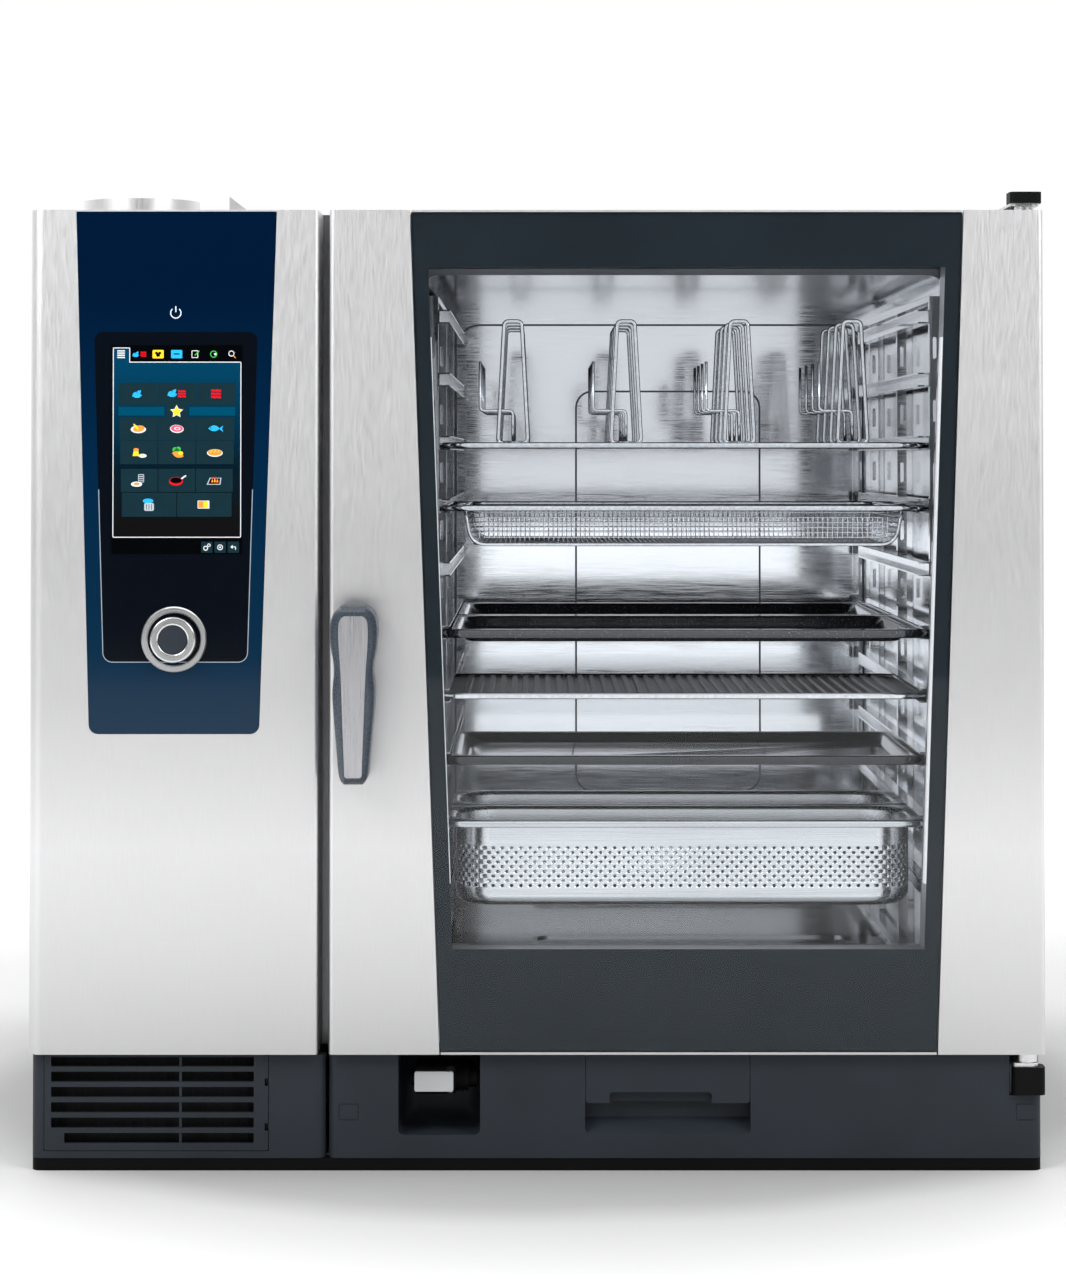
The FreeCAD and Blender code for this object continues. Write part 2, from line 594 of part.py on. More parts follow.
def fan_motors():
    motors = []
    for z in FAN_ZS:
        body = rod(62, (-400, FAN_Y, z), (1, 0, 0), 138)
        flange = rod(80, (-262, FAN_Y, z), (1, 0, 0), 4)
        box = block(-370, -300, FAN_Y - 30, FAN_Y + 30, z + 50, z + 85)
        feet = []
        for y in (FAN_Y - 50, FAN_Y + 50):
            feet += [wire_bar(6, (-258, y, z + h), (-243, y, z + h)) for h in (-50, 50)]
        motor = joined([body, flange, box] + feet)
        motors.append(motor.cut(rod(SHAFT_R + RUNNING, (-385, FAN_Y, z), (1, 0, 0), 140)))
    return Part.makeCompound(motors)


def fan_wheel(z):
    back = rod(FAN_R, (-207, FAN_Y, z), (1, 0, 0), 2)
    rim = sleeve(FAN_R, FAN_R - 22, (-152, FAN_Y, z), (1, 0, 0), 2)
    hub = rod(24, (-207, FAN_Y, z), (1, 0, 0), 40)
    shaft = rod(SHAFT_R, (-380, FAN_Y, z), (1, 0, 0), 215)
    blades = []
    for number in range(14):
        blade = block(-206, -151, -1, 1, FAN_R - 52, FAN_R - 4)
        blade.rotate(V(-180, 0, FAN_R - 28), V(1, 0, 0), 28)
        blade.rotate(V(0, 0, 0), V(1, 0, 0), number * 360 / 14)
        blade.translate(V(0, FAN_Y, z))
        blades.append(blade)
    rim = in_sheets(rim, y=[FAN_Y], z=[z])
    return welded([back, rim, hub, shaft] + blades)


def rack(side):
    """Ten U-shaped rails on three uprights; side is -1 for the left rack, 1 for the right."""
    edge = TRAY_X + side * TRAY_W / 2

    def span(inboard, outboard):
        a = edge - side * inboard
        b = edge + side * outboard
        return min(a, b), max(a, b)

    pieces = []
    for number in range(1, LEVELS + 1):
        z = level_z(number)
        x0, x1 = span(RAIL_W - 2, 2)
        rail = block(x0, x1, TRAY_Y - 2, TRAY_Y + TRAY_D + 6, z - RAIL_UNDER, z - RAIL_UNDER + RAIL_H)
        c0, c1 = span(RAIL_W, 0.3)
        channel = block(c0, c1, TRAY_Y - 5, TRAY_Y + TRAY_D + 2,
                        z - RAIL_UNDER + 1.5, z - RAIL_UNDER + RAIL_H - 1.5)
        low_lip = z - RAIL_UNDER + 1.5
        high_lip = z - RAIL_UNDER + RAIL_H - 1.5
        pieces.append(in_sheets(rail.cut(channel), z=[low_lip, high_lip], y=[TRAY_Y + TRAY_D + 2]))
    u0, u1 = span(-2, 13)
    low = CAVITY_Z0 + 12
    high = level_z(LEVELS) + 22
    for y in (TRAY_Y + 2, TRAY_Y + TRAY_D / 2 - 6, TRAY_Y + TRAY_D - 14):
        pieces.append(block(u0, u1, y, y + 12, low, high))
    pieces.append(block(u0, u1, TRAY_Y + 2, TRAY_Y + TRAY_D - 2, high - 6, high))
    pieces.append(block(u0, u1, TRAY_Y + 2, TRAY_Y + TRAY_D - 2, low + 8, low + 16))
    wall = BAFFLE_X + SHEET if side < 0 else CAVITY_X1
    for y in (TRAY_Y + 8, TRAY_Y + TRAY_D - 8):
        for z in (low + 12, high - 3):
            start = (min(wall, edge + side * 12), y, z)
            pieces.append(rod(3, start, (1, 0, 0), abs(wall - (edge + side * 12))))
    body = welded(pieces)
    for y in (TRAY_Y + 2, TRAY_Y + TRAY_D / 2 - 6, TRAY_Y + TRAY_D - 14):
        for number in range(1, LEVELS):
            z = level_z(number) + LEVEL_PITCH / 2
            body = body.cut(rounded_block(u0 + 3.5, u1 - 3.5, y - 1, y + 13, z - 12, z + 12, 1.8, "y"))
    return body


def drain_strainer():
    disc = rod(44, (TRAY_X, 0, CAVITY_Z0 - LINER_T), (0, 0, 1), 4)
    for radius, count in ((12, 6), (22, 12), (33, 18)):
        for number in range(count):
            angle = 2 * math.pi * number / count
            x = TRAY_X + radius * math.cos(angle)
            disc = disc.cut(rod(3, (x, radius * math.sin(angle), CAVITY_Z0 - 5), (0, 0, 1), 10))
    return disc


def drain_box():
    box = rounded_block(110, 330, -90, 160, 30, 116, 15, "z")
    neck = rod(44, (TRAY_X, 0, 110), (0, 0, 1), CAVITY_Z0 - LINER_T - 0.5 - 110)
    inside = rounded_block(113, 327, -87, 157, 33, 113, 12, "z")
    throat = rod(41, (TRAY_X, 0, 105), (0, 0, 1), 60)
    bore = rod(DRAIN[2] - 2, (DRAIN[0], 140, DRAIN[1]), (0, 1, 0), 400)
    tub = box.fuse(neck).cut(inside).cut(throat).cut(bore)
    tub = in_sheets(tub, z=[33, DRAIN[1], 113], y=[-75, 145], x=[125, DRAIN[0], 315])
    pipe = rod(DRAIN[2] - 1, (DRAIN[0], 160, DRAIN[1]), (0, 1, 0), STUB_END_Y - 160)
    stub = rod(DRAIN[2], (DRAIN[0], STUB_START_Y, DRAIN[1]), (0, 1, 0), STUB_END_Y - STUB_START_Y)
    pipe = pipe.fuse(stub).cut(bore)
    return Part.makeCompound(tub.Solids + in_staves(pipe, DRAIN[0], DRAIN[1]).Solids)


def steam_generator():
    tank = rounded_block(-515, -300, 170, 460, 150, 560, 25, "z")
    hollow = rounded_block(-512, -303, 173, 457, 153, 557, 22, "z")
    pipe = rod(14, (-310, 200, 520), (1, 0, 0), 310 + CAVITY_X0)
    bore = rod(12, (-310, 200, 520), (1, 0, 0), 120)
    legs = [block(x, x + 30, y, y + 30, FOOT_H + 2, 150) for x in (-500, -345) for y in (190, 365)]
    shell = in_sheets(tank.cut(hollow).cut(bore), z=[153, 500, 540, 557], x=[-490, -325], y=[195, 435])
    spout = pipe.cut(hollow).cut(bore)
    return welded([shell, spout] + legs)


def water_inlets():
    valves = []
    for x in WATER_X:
        body = rounded_block(x - 22, x + 22, 415, 489, WATER_Z - 18, WATER_Z + 18, 5, "y")
        neck = rod(WATER_R - 1, (x, 480, WATER_Z), (0, 1, 0), STUB_END_Y - 480)
        stub = rod(WATER_R, (x, STUB_START_Y, WATER_Z), (0, 1, 0), STUB_END_Y - STUB_START_Y)
        coil = rod(15, (x, 440, WATER_Z + 15), (0, 0, 1), 28)
        foot = block(x - 12, x + 12, 425, 465, FOOT_H + 2, WATER_Z - 16)
        valve = joined([body, neck, stub, coil, foot])
        valves.append(valve.cut(rod(9.5, (x, 460, WATER_Z), (0, 1, 0), 80)))
    return Part.makeCompound(valves)


def cable_gland():
    x, z = GLAND
    thread = rod(16, (x, 478, z), (0, 1, 0), 36)
    turns = [math.radians(60 * i) for i in range(6)]
    corners = [(x + 23 * math.cos(turn), z + 23 * math.sin(turn)) for turn in turns]
    nut = plate_xz(corners, REAR_Y, REAR_Y + 8)
    lock = rod(21, (x, 484, z), (0, 1, 0), REAR_Y - SHEET - 484)
    dome = rod(19, (x, REAR_Y + 8, z), (0, 1, 0), 13)
    dome = dome.makeFillet(4, [e for e in dome.Edges if abs(e.CenterOfMass.y - (REAR_Y + 21)) < 0.1])
    return joined([thread, nut, lock, dome]).cut(rod(12, (x, 470, z), (0, 1, 0), 60))


# ---- loads on the rails --------------------------------------------------------------------------
def tray(number, depth, front_y):
    z = level_z(number)
    back_y = front_y + SMALL_D
    x0 = TRAY_X - TRAY_W / 2 + 0.5
    x1 = TRAY_X + TRAY_W / 2 - 0.5
    rim = rounded_block(x0, x1, front_y, back_y, z - RAIL_UNDER + 1.5, z + 2, 12, "z")
    under_rim = rounded_block(x0 + 1.2, x1 - 1.2, front_y + 1.2, back_y - 1.2, z - 20, z + 0.8, 11, "z")
    basin = rounded_block(x0 + 22, x1 - 22, front_y + 22, back_y - 22, z - depth, z + 2, 18, "z")
    hollow = rounded_block(x0 + 23.2, x1 - 23.2, front_y + 23.2, back_y - 23.2,
                           z - depth + 1.2, z + 9, 17, "z")
    inset = 23.2 + 17
    return in_sheets(
        rim.cut(under_rim).fuse(basin).cut(hollow),
        z=[z - depth + 1.2, z + 0.8],
        x=[x0 + inset, x1 - inset],
        y=[front_y + inset, back_y - inset],
    )


def grill_tray():
    z = level_z(4)
    x0 = TRAY_X - TRAY_W / 2 + 0.5
    x1 = TRAY_X + TRAY_W / 2 - 0.5
    back_y = TRAY_Y + SMALL_D
    slab = rounded_block(x0, x1, TRAY_Y, back_y, z - RAIL_UNDER + 1.5, z + 2, 12, "z")
    under = rounded_block(x0 + 1.5, x1 - 1.5, TRAY_Y + 1.5, back_y - 1.5, z - 20, z - 3, 11, "z")
    over = rounded_block(x0 + 6, x1 - 6, TRAY_Y + 6, back_y - 6, z - 1, z + 9, 8, "z")
    return slab.cut(under).cut(over)


def gn_container(front_y):
    z = level_z(2)
    length = 161.5
    x0 = TRAY_X - TRAY_W / 2 + 0.5
    x1 = TRAY_X + TRAY_W / 2 - 0.5
    rim = rounded_block(x0, x1, front_y, front_y + length, z - RAIL_UNDER + 1.5, z + 1, 14, "z")
    under_rim = rounded_block(x0 + 1.2, x1 - 1.2, front_y + 1.2, front_y + length - 1.2,
                              z - 20, z - 0.2, 13, "z")
    pan = rounded_block(x0 + 16, x1 - 16, front_y + 14, front_y + length - 14, z - 93, z + 1, 46, "z")
    pan = pan.makeFillet(14, [e for e in pan.Edges if abs(e.CenterOfMass.z - (z - 93)) < 0.01])
    inside = rounded_block(x0 + 17.2, x1 - 17.2, front_y + 15.2, front_y + length - 15.2,
                           z - 91.8, z + 9, 44.8, "z")
    inside = inside.makeFillet(12.8, [e for e in inside.Edges if abs(e.CenterOfMass.z - (z - 91.8)) < 0.01])
    return in_sheets(
        rim.cut(under_rim).fuse(pan).cut(inside),
        z=[z - 91.8, z - 79],
        x=[x0 + 39.6, x0 + 62, x1 - 62, x1 - 39.6],
        y=[front_y + 37.6, front_y + 60, front_y + length - 60, front_y + length - 37.6],
    )


def fry_basket():
    z = level_z(7)
    x0 = TRAY_X - TRAY_W / 2 + 0.8
    x1 = TRAY_X + TRAY_W / 2 - 0.8
    back_y = TRAY_Y + SMALL_D
    rim = rounded_block(x0, x1, TRAY_Y, back_y, z - RAIL_UNDER + 1.5, z + 1, 14, "z")
    hole = rounded_block(x0 + 12, x1 - 12, TRAY_Y + 12, back_y - 12, z - 20, z + 9, 12, "z")
    rim = rim.cut(hole)
    mesh = rounded_block(x0 + 26, x1 - 26, TRAY_Y + 11, back_y - 11, z - 44, z + 1, 16, "z")
    flange = rounded_block(x0 + 11, x1 - 11, TRAY_Y + 10.5, back_y - 10.5, z - 1.5, z + 1, 14, "z")
    inside = rounded_block(x0 + 27.6, x1 - 27.6, TRAY_Y + 12.6, back_y - 12.6, z - 42.4, z + 9, 14, "z")
    return in_sheets(
        joined([rim, flange, mesh]).cut(inside),
        z=[z - 42.4],
        x=[x0 + 42, x1 - 42],
        y=[TRAY_Y + 27, back_y - 27],
    )


def baking_spike(x, y, z):
    """One wire loop that a potato is pushed on, with a thinner cranked wire beside it."""
    thick = 1.6
    top = z + 136
    loop = [
        wire_bar(thick, (x - 16, y, z), (x - 10, y, top)),
        wire_bar(thick, (x + 16, y, z), (x + 10, y, top)),
        wire_bar(thick, (x - 10, y, top), (x + 10, y, top)),
    ]
    loop += [Part.makeSphere(thick, V(x + dx, y, top)) for dx in (-10, 10)]
    crank = [(x, y, z), (x, y, z + 39), (x - 36, y, z + 39), (x - 36, y, z + 92)]
    for start, end in zip(crank, crank[1:]):
        loop.append(wire_bar(1.3, start, end))
        loop.append(Part.makeSphere(1.3, V(*end)))
    return joined(loop)


def spike_grid():
    z = level_z(8)
    x0 = TRAY_X - TRAY_W / 2 + 1
    x1 = TRAY_X + TRAY_W / 2 - 1
    rows = [TRAY_Y + 34 + SPIKE_STEP * i for i in range(4)]
    rim_z = z - RAIL_UNDER + 1.5 + 3.2
    back_y = TRAY_Y + SMALL_D
    rim = rounded_block(x0, x1, TRAY_Y, back_y, rim_z - 3.2, rim_z + 3.2, 10, "z")
    rim = rim.cut(rounded_block(x0 + 6.4, x1 - 6.4, TRAY_Y + 6.4, back_y - 6.4, z - 20, z + 20, 4, "z"))
    base = [in_sheets(rim, x=[x0 + 12, x1 - 12], y=[TRAY_Y + 12, back_y - 12])]
    for y in rows:
        base.append(wire_bar(2.4, (x0 + 3, y, rim_z), (x1 - 3, y, rim_z)))
    spikes = [baking_spike(TRAY_X + 124 * i, y, rim_z + 1) for i in (-1.5, -0.5, 0.5, 1.5) for y in rows]
    return welded(base + spikes)


# ---- cabinet side of the door --------------------------------------------------------------------
def door_gasket():
    y0 = DOOR_BACK_Y + 0.4
    outer = rounded_block(-146, 463, y0, CABINET_Y, 128, 968, 30, "y")
    inner = rounded_block(-134, 451, y0 - 1, CABINET_Y + 1, 140, 956, 22, "y")
    return outer.cut(inner)


def latch_keeper():
    plate = rounded_block(-172, -158, CABINET_Y - 4, CABINET_Y, 548, 592, 3, "y")
    return plate.cut(block(-173, -164, CABINET_Y - 5, CABINET_Y + 1, 560, 580))


def hinge_brackets():
    upper = block(502, 533, -463, -360, 1018.6, 1021.5).fuse(block(502, 533, -391, -360, HEIGHT, 1018.6))
    upper = rounded(upper, 8, "z", lambda c: c.y < -460)
    lower = block(502, 529.5, -463, -397, 110, 114)
    lower = rounded(lower, 8, "z", lambda c: c.y < -460)
    pin = rod(HINGE_PIN_R + RUNNING, (HINGE_X, HINGE_Y, 50), (0, 0, 1), 1100)
    return Part.makeCompound([upper.cut(pin), lower.cut(pin)])


def hinge_caps():
    upper = rounded_block(501.5, HALF - 1, -467, -432, 1021.6, 1033.5, 6, "z")
    upper = upper.cut(rod(HINGE_PIN_R + 0.6, (HINGE_X, HINGE_Y, 1020), (0, 0, 1), 11))
    lower = rounded_block(502.5, HALF, -467, -442, 81, 109.9, 6, "z")
    lower = lower.cut(rod(HINGE_PIN_R + 0.6, (HINGE_X, HINGE_Y, 88), (0, 0, 1), 30))
    return Part.makeCompound([upper, lower])


# ---- door ----------------------------------------------------------------------------------------
def door_frame():
    back = block(DOOR_X0 + 2, HALF - 2, DOOR_BACK_Y - 2, DOOR_BACK_Y, BODY_Z + 2, HEIGHT - 2)
    tunnel_top = CLEAR_TOP_Z + 3.5
    tunnel_bottom = CLEAR_BOTTOM_Z - 4
    outline = door_glass_outline(TUNNEL_INSET - 2, tunnel_top + 2, tunnel_bottom - 2)
    outer = plate_xz(outline, FRONT_Y + 6, DOOR_BACK_Y)
    inner = plate_xz(door_glass_outline(TUNNEL_INSET, tunnel_top, tunnel_bottom), FRONT_Y, DOOR_BACK_Y + 5)
    top_strip = block(GLASS_TOP[0] + 1, GLASS_TOP[1] - 1, FRONT_Y, DOOR_BACK_Y, HEIGHT - 2.2, HEIGHT)
    bottom_strip = block(GLASS_BOTTOM[0] + 1, GLASS_BOTTOM[1] - 1, FRONT_Y, DOOR_BACK_Y, BODY_Z, BODY_Z + 2.5)
    bush = block(HANDLE_X - 15, HANDLE_X + 15, FRONT_Y + 8, DOOR_BACK_Y, HANDLE_Z - 15, HANDLE_Z + 15)
    frame = joined([back, outer, top_strip, bottom_strip, bush]).cut(inner)
    frame = frame.cut(rod(HANDLE_SHAFT_R + RUNNING, (HANDLE_X, FRONT_Y, HANDLE_Z), (0, 1, 0), 100))
    return in_sheets(
        frame,
        y=[DOOR_BACK_Y - 2],
        z=[BODY_Z + 2.5, tunnel_bottom - 2, tunnel_bottom, tunnel_top, tunnel_top + 2, HEIGHT - 2.2],
        x=[TRAY_X],
    )


def door_panel(side):
    glass = door_glass_outline(-0.5, HEIGHT, BODY_Z)
    if side < 0:
        edge = DOOR_X0
        seam_top = glass[0][0]
        seam_bottom = glass[3][0]
    else:
        edge = HALF
        seam_top = glass[1][0]
        seam_bottom = glass[2][0]
    skin = side * SHEET
    outline = [(edge, HEIGHT), (seam_top, HEIGHT), (seam_bottom, BODY_Z), (edge, BODY_Z)]
    panel = plate_xz(outline, FRONT_Y, DOOR_BACK_Y - 2.2)
    panel = rounded(panel, 5, "z", lambda c: abs(c.x - edge) < 1 and c.y < FRONT_Y + 1)
    inset = [
        (edge - skin, HEIGHT - SHEET),
        (seam_top + skin, HEIGHT - SHEET),
        (seam_bottom + skin, BODY_Z + SHEET),
        (edge - skin, BODY_Z + SHEET),
    ]
    hollow = plate_xz(inset, FRONT_Y + SHEET, DOOR_BACK_Y + 5)
    hollow = rounded(hollow, 3.5, "z", lambda c: abs(c.x - edge) < 3 and c.y < FRONT_Y + 3)
    panel = panel.cut(hollow)
    inside_x = (seam_top + seam_bottom) / 2
    reach = block(inside_x - 22, inside_x + 22, FRONT_Y + 8, DOOR_BACK_Y + 1, BODY_Z - 1, HEIGHT + 1)
    panel = panel.cut(reach)
    if side < 0:
        panel = panel.cut(rod(12, (HANDLE_X, FRONT_Y - 5, HANDLE_Z), (0, 1, 0), 20))
    else:
        panel = panel.cut(rod(HINGE_PIN_R + 0.2, (HINGE_X, HINGE_Y, 100), (0, 0, 1), 1000))
    return in_sheets(
        panel,
        y=[FRONT_Y + SHEET],
        z=[BODY_Z + SHEET, HEIGHT - SHEET],
        x=[edge - side * 5, inside_x - side * 4],
    )


def door_glass_outer():
    return plate_xz(door_glass_outline(0), FRONT_Y, FRONT_Y + PANE_T)


def door_glass_inner():
    outline = door_glass_outline(TUNNEL_INSET + 0.4, CLEAR_TOP_Z + 3.1, CLEAR_BOTTOM_Z - 3.6)
    return plate_xz(outline, DOOR_BACK_Y - 9, DOOR_BACK_Y - 5)


def door_led_strips():
    strips = []
    outer = door_glass_outline(TUNNEL_INSET + 0.1, 880, 300)
    inner = door_glass_outline(TUNNEL_INSET + 2.1, 880, 300)
    strips.append(plate_xz([outer[0], inner[0], inner[3], outer[3]], FRONT_Y + 25, FRONT_Y + 37))
    strips.append(plate_xz([inner[1], outer[1], outer[2], inner[2]], FRONT_Y + 25, FRONT_Y + 37))
    return Part.makeCompound(strips)


def door_hinge_pins():
    upper_block = block(502, 532, FRONT_Y + 4, DOOR_BACK_Y - 4, 975, HEIGHT - SHEET - 0.2)
    upper_pin = rod(HINGE_PIN_R, (HINGE_X, HINGE_Y, 990), (0, 0, 1), 39)
    upper_washer = rod(10, (HINGE_X, HINGE_Y, HEIGHT), (0, 0, 1), 4.3)
    lower_block = block(502, 532, FRONT_Y + 4, DOOR_BACK_Y - 4, BODY_Z + SHEET + 0.2, 160)
    lower_pin = rod(HINGE_PIN_R, (HINGE_X, HINGE_Y, 90), (0, 0, 1), 50)
    lower_washer = rod(11, (HINGE_X, HINGE_Y, 114.3), (0, 0, 1), BODY_Z - 114.3)
    upper = joined([upper_block, upper_pin, upper_washer])
    lower = joined([lower_block, lower_pin, lower_washer])
    return Part.makeCompound([upper, lower])


# ---- handle --------------------------------------------------------------------------------------
# Half-widths of the grip and of its inlay against height above the pivot, from top to bottom.
GRIP_PROFILE = (
    (27.6, 13.0), (22.5, 19.6), (13.0, 24.0), (0.0, 25.1), (-16.0, 23.8), (-32.0, 20.6), (-43.0, 19.9),
    (-51.0, 21.6), (-59.0, 22.4), (-80.0, 21.4), (-120.0, 18.4), (-157.5, 15.8),
)
INLAY_PROFILE = ((17.4, 9.0), (14.0, 13.4), (6.0, 15.2), (-30.0, 13.8), (-90.0, 11.2), (-150.5, 8.9))
GRIP_T = 23.0


def waisted_outline(profile):
    left = [V(HANDLE_X - half, 0, HANDLE_Z + up) for up, half in profile]
    right = [V(HANDLE_X + half, 0, HANDLE_Z + up) for up, half in reversed(profile)]
    left_side = Part.BSplineCurve()
    left_side.interpolate(left)
    right_side = Part.BSplineCurve()
    right_side.interpolate(right)
    edges = [left_side.toShape(), Part.makeLine(left[-1], right[0])]
    edges += [right_side.toShape(), Part.makeLine(right[-1], left[0])]
    return Part.Face(Part.Wire(edges))


def handle_grip():
    face = waisted_outline(GRIP_PROFILE)
    face.translate(V(0, HANDLE_Y + 0.4, 0))
    grip = face.extrude(V(0, GRIP_T, 0))
    grip = rounded(grip, 5, "y")
    head = rounded_block(HANDLE_X - 24, HANDLE_X + 24, HANDLE_Y + 10, FRONT_Y - 0.5,
                         HANDLE_Z - 22, HANDLE_Z + 26, 12, "y")
    grip = grip.fuse(head)
    pocket = waisted_outline([(up, half + 0.2) for up, half in INLAY_PROFILE])
    pocket.translate(V(0, HANDLE_Y - 1, 0))
    grip = grip.cut(rounded(pocket.extrude(V(0, 3, 0)), 3, "y"))
    return grip.cut(rod(HANDLE_SHAFT_R, (HANDLE_X, -500, HANDLE_Z), (0, 1, 0), 60))


def handle_insert():
    face = waisted_outline(INLAY_PROFILE)
    face.translate(V(0, HANDLE_Y, 0))
    inlay = face.extrude(V(0, 1.9, 0))
    return rounded(inlay, 3, "y")


def handle_shaft():
    shaft = rod(HANDLE_SHAFT_R, (HANDLE_X, -500, HANDLE_Z), (0, 1, 0), 500 + CABINET_Y - 2.5)
    cam = rod(12, (HANDLE_X, DOOR_BACK_Y + 0.4, HANDLE_Z), (0, 1, 0), 3.1)
    nose = block(HANDLE_X - 5, HANDLE_X + 5, DOOR_BACK_Y + 0.4, DOOR_BACK_Y + 3.5, HANDLE_Z, HANDLE_Z + 16)
    return joined([shaft, cam, nose])


def main():
    os.makedirs("parts", exist_ok=True)
    save("foot_frame", foot_frame())
    save("base_frame", base_frame())
    save("base_cover_left", base_cover_left())
    save("base_cover_right", base_cover_right())
    save("air_filter", air_filter())
    save("care_drawer", care_drawer())
    save("shower_head", shower_head())
    save("shower_trigger", shower_trigger())
    save("shower_hose", shower_hose())
    save("hose_drum", hose_drum())
    save("cooling_fan", cooling_fan())
    save("side_panel_left", side_panel(-1))
    save("side_panel_right", side_panel(1))
    save("top_panel", top_panel())
    save("rear_panel", rear_panel())
    save("column_panel", column_panel())
    save("cabinet_front", welded([cabinet_front(), latch_keeper()]))
    save("exhaust_pipe", exhaust_pipe())
    save("intake_hood", intake_hood())
    save("casing_screws", casing_screws())
    save("control_glass", control_glass())
    save("display_module", display_module())
    save("dial_bezel", dial_bezel())
    save("dial_core", dial_core())
    save("dial_ring", dial_ring())
    save("cavity_liner", cavity_liner())
    save("cavity_insulation", cavity_insulation())
    save("air_baffle", air_baffle())
    save("heater_coils", heater_coils())
    save("fan_motors", fan_motors())
    save("fan_wheel_upper", fan_wheel(FAN_ZS[1]))
    save("fan_wheel_lower", fan_wheel(FAN_ZS[0]))
    save("rack_left", rack(-1))
    save("rack_right", rack(1))
    save("drain_strainer", drain_strainer())
    save("drain_box", drain_box())
    save("steam_generator", steam_generator())
    save("water_inlets", water_inlets())
    save("cable_gland", cable_gland())
    save("spike_grid", spike_grid())
    save("fry_basket", fry_basket())
    save("enamel_tray_upper", tray(5, 12, TRAY_Y))
    save("enamel_tray_rear", tray(5, 12, TRAY_Y + 325))
    save("grill_tray", grill_tray())
    save("enamel_tray_lower", tray(3, 8.5, TRAY_Y))
    save("container_front", gn_container(TRAY_Y))
    save("container_rear", gn_container(TRAY_Y + 163))
    save("door_gasket", door_gasket())
    save("hinge_brackets", hinge_brackets())
    save("hinge_caps", hinge_caps())
    save("door_frame", door_frame())
    save("door_panel_left", door_panel(-1))
    save("door_panel_right", door_panel(1))
    save("door_glass_outer", door_glass_outer())
    save("door_glass_inner", door_glass_inner())
    save("door_led_strips", door_led_strips())
    save("door_hinge_pins", door_hinge_pins())
    save("handle_grip", handle_grip())
    save("handle_insert", handle_insert())
    save("handle_shaft", handle_shaft())


main()
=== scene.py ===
import json
import math

import bmesh
import bpy
from mathutils import Matrix, Vector


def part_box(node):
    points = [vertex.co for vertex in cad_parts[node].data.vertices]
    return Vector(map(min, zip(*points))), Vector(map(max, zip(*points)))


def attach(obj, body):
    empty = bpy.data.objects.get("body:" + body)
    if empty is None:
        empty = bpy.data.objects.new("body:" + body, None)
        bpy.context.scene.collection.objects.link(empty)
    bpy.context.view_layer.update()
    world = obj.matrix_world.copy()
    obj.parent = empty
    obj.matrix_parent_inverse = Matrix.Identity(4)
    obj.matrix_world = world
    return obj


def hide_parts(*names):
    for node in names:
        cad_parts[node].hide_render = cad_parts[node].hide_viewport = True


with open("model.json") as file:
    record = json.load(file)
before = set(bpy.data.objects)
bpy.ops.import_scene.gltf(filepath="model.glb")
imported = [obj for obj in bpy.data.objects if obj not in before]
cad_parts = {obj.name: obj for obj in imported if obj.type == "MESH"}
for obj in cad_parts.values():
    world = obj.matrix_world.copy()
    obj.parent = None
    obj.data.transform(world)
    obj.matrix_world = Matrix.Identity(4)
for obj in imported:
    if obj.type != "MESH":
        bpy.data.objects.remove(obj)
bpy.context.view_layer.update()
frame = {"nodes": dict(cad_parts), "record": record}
NODES = frame["nodes"]
MM = 0.001
LINER_T = 2.0 * MM
PROUD = 0.12 * MM


# ---- places taken from the frame -----------------------------------------------------------------
def middle(node):
    low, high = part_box(node)
    return (low + high) / 2


GLASS_LOW, GLASS_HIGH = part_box("control_glass")
DIAL = middle("dial_bezel")
FRONT_Y = GLASS_LOW.y
DOOR_GLASS_LOW, DOOR_GLASS_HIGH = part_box("door_glass_outer")
INNER_GLASS_LOW, INNER_GLASS_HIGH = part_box("door_glass_inner")
BACK_WALL_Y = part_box("cavity_liner")[1].y - LINER_T


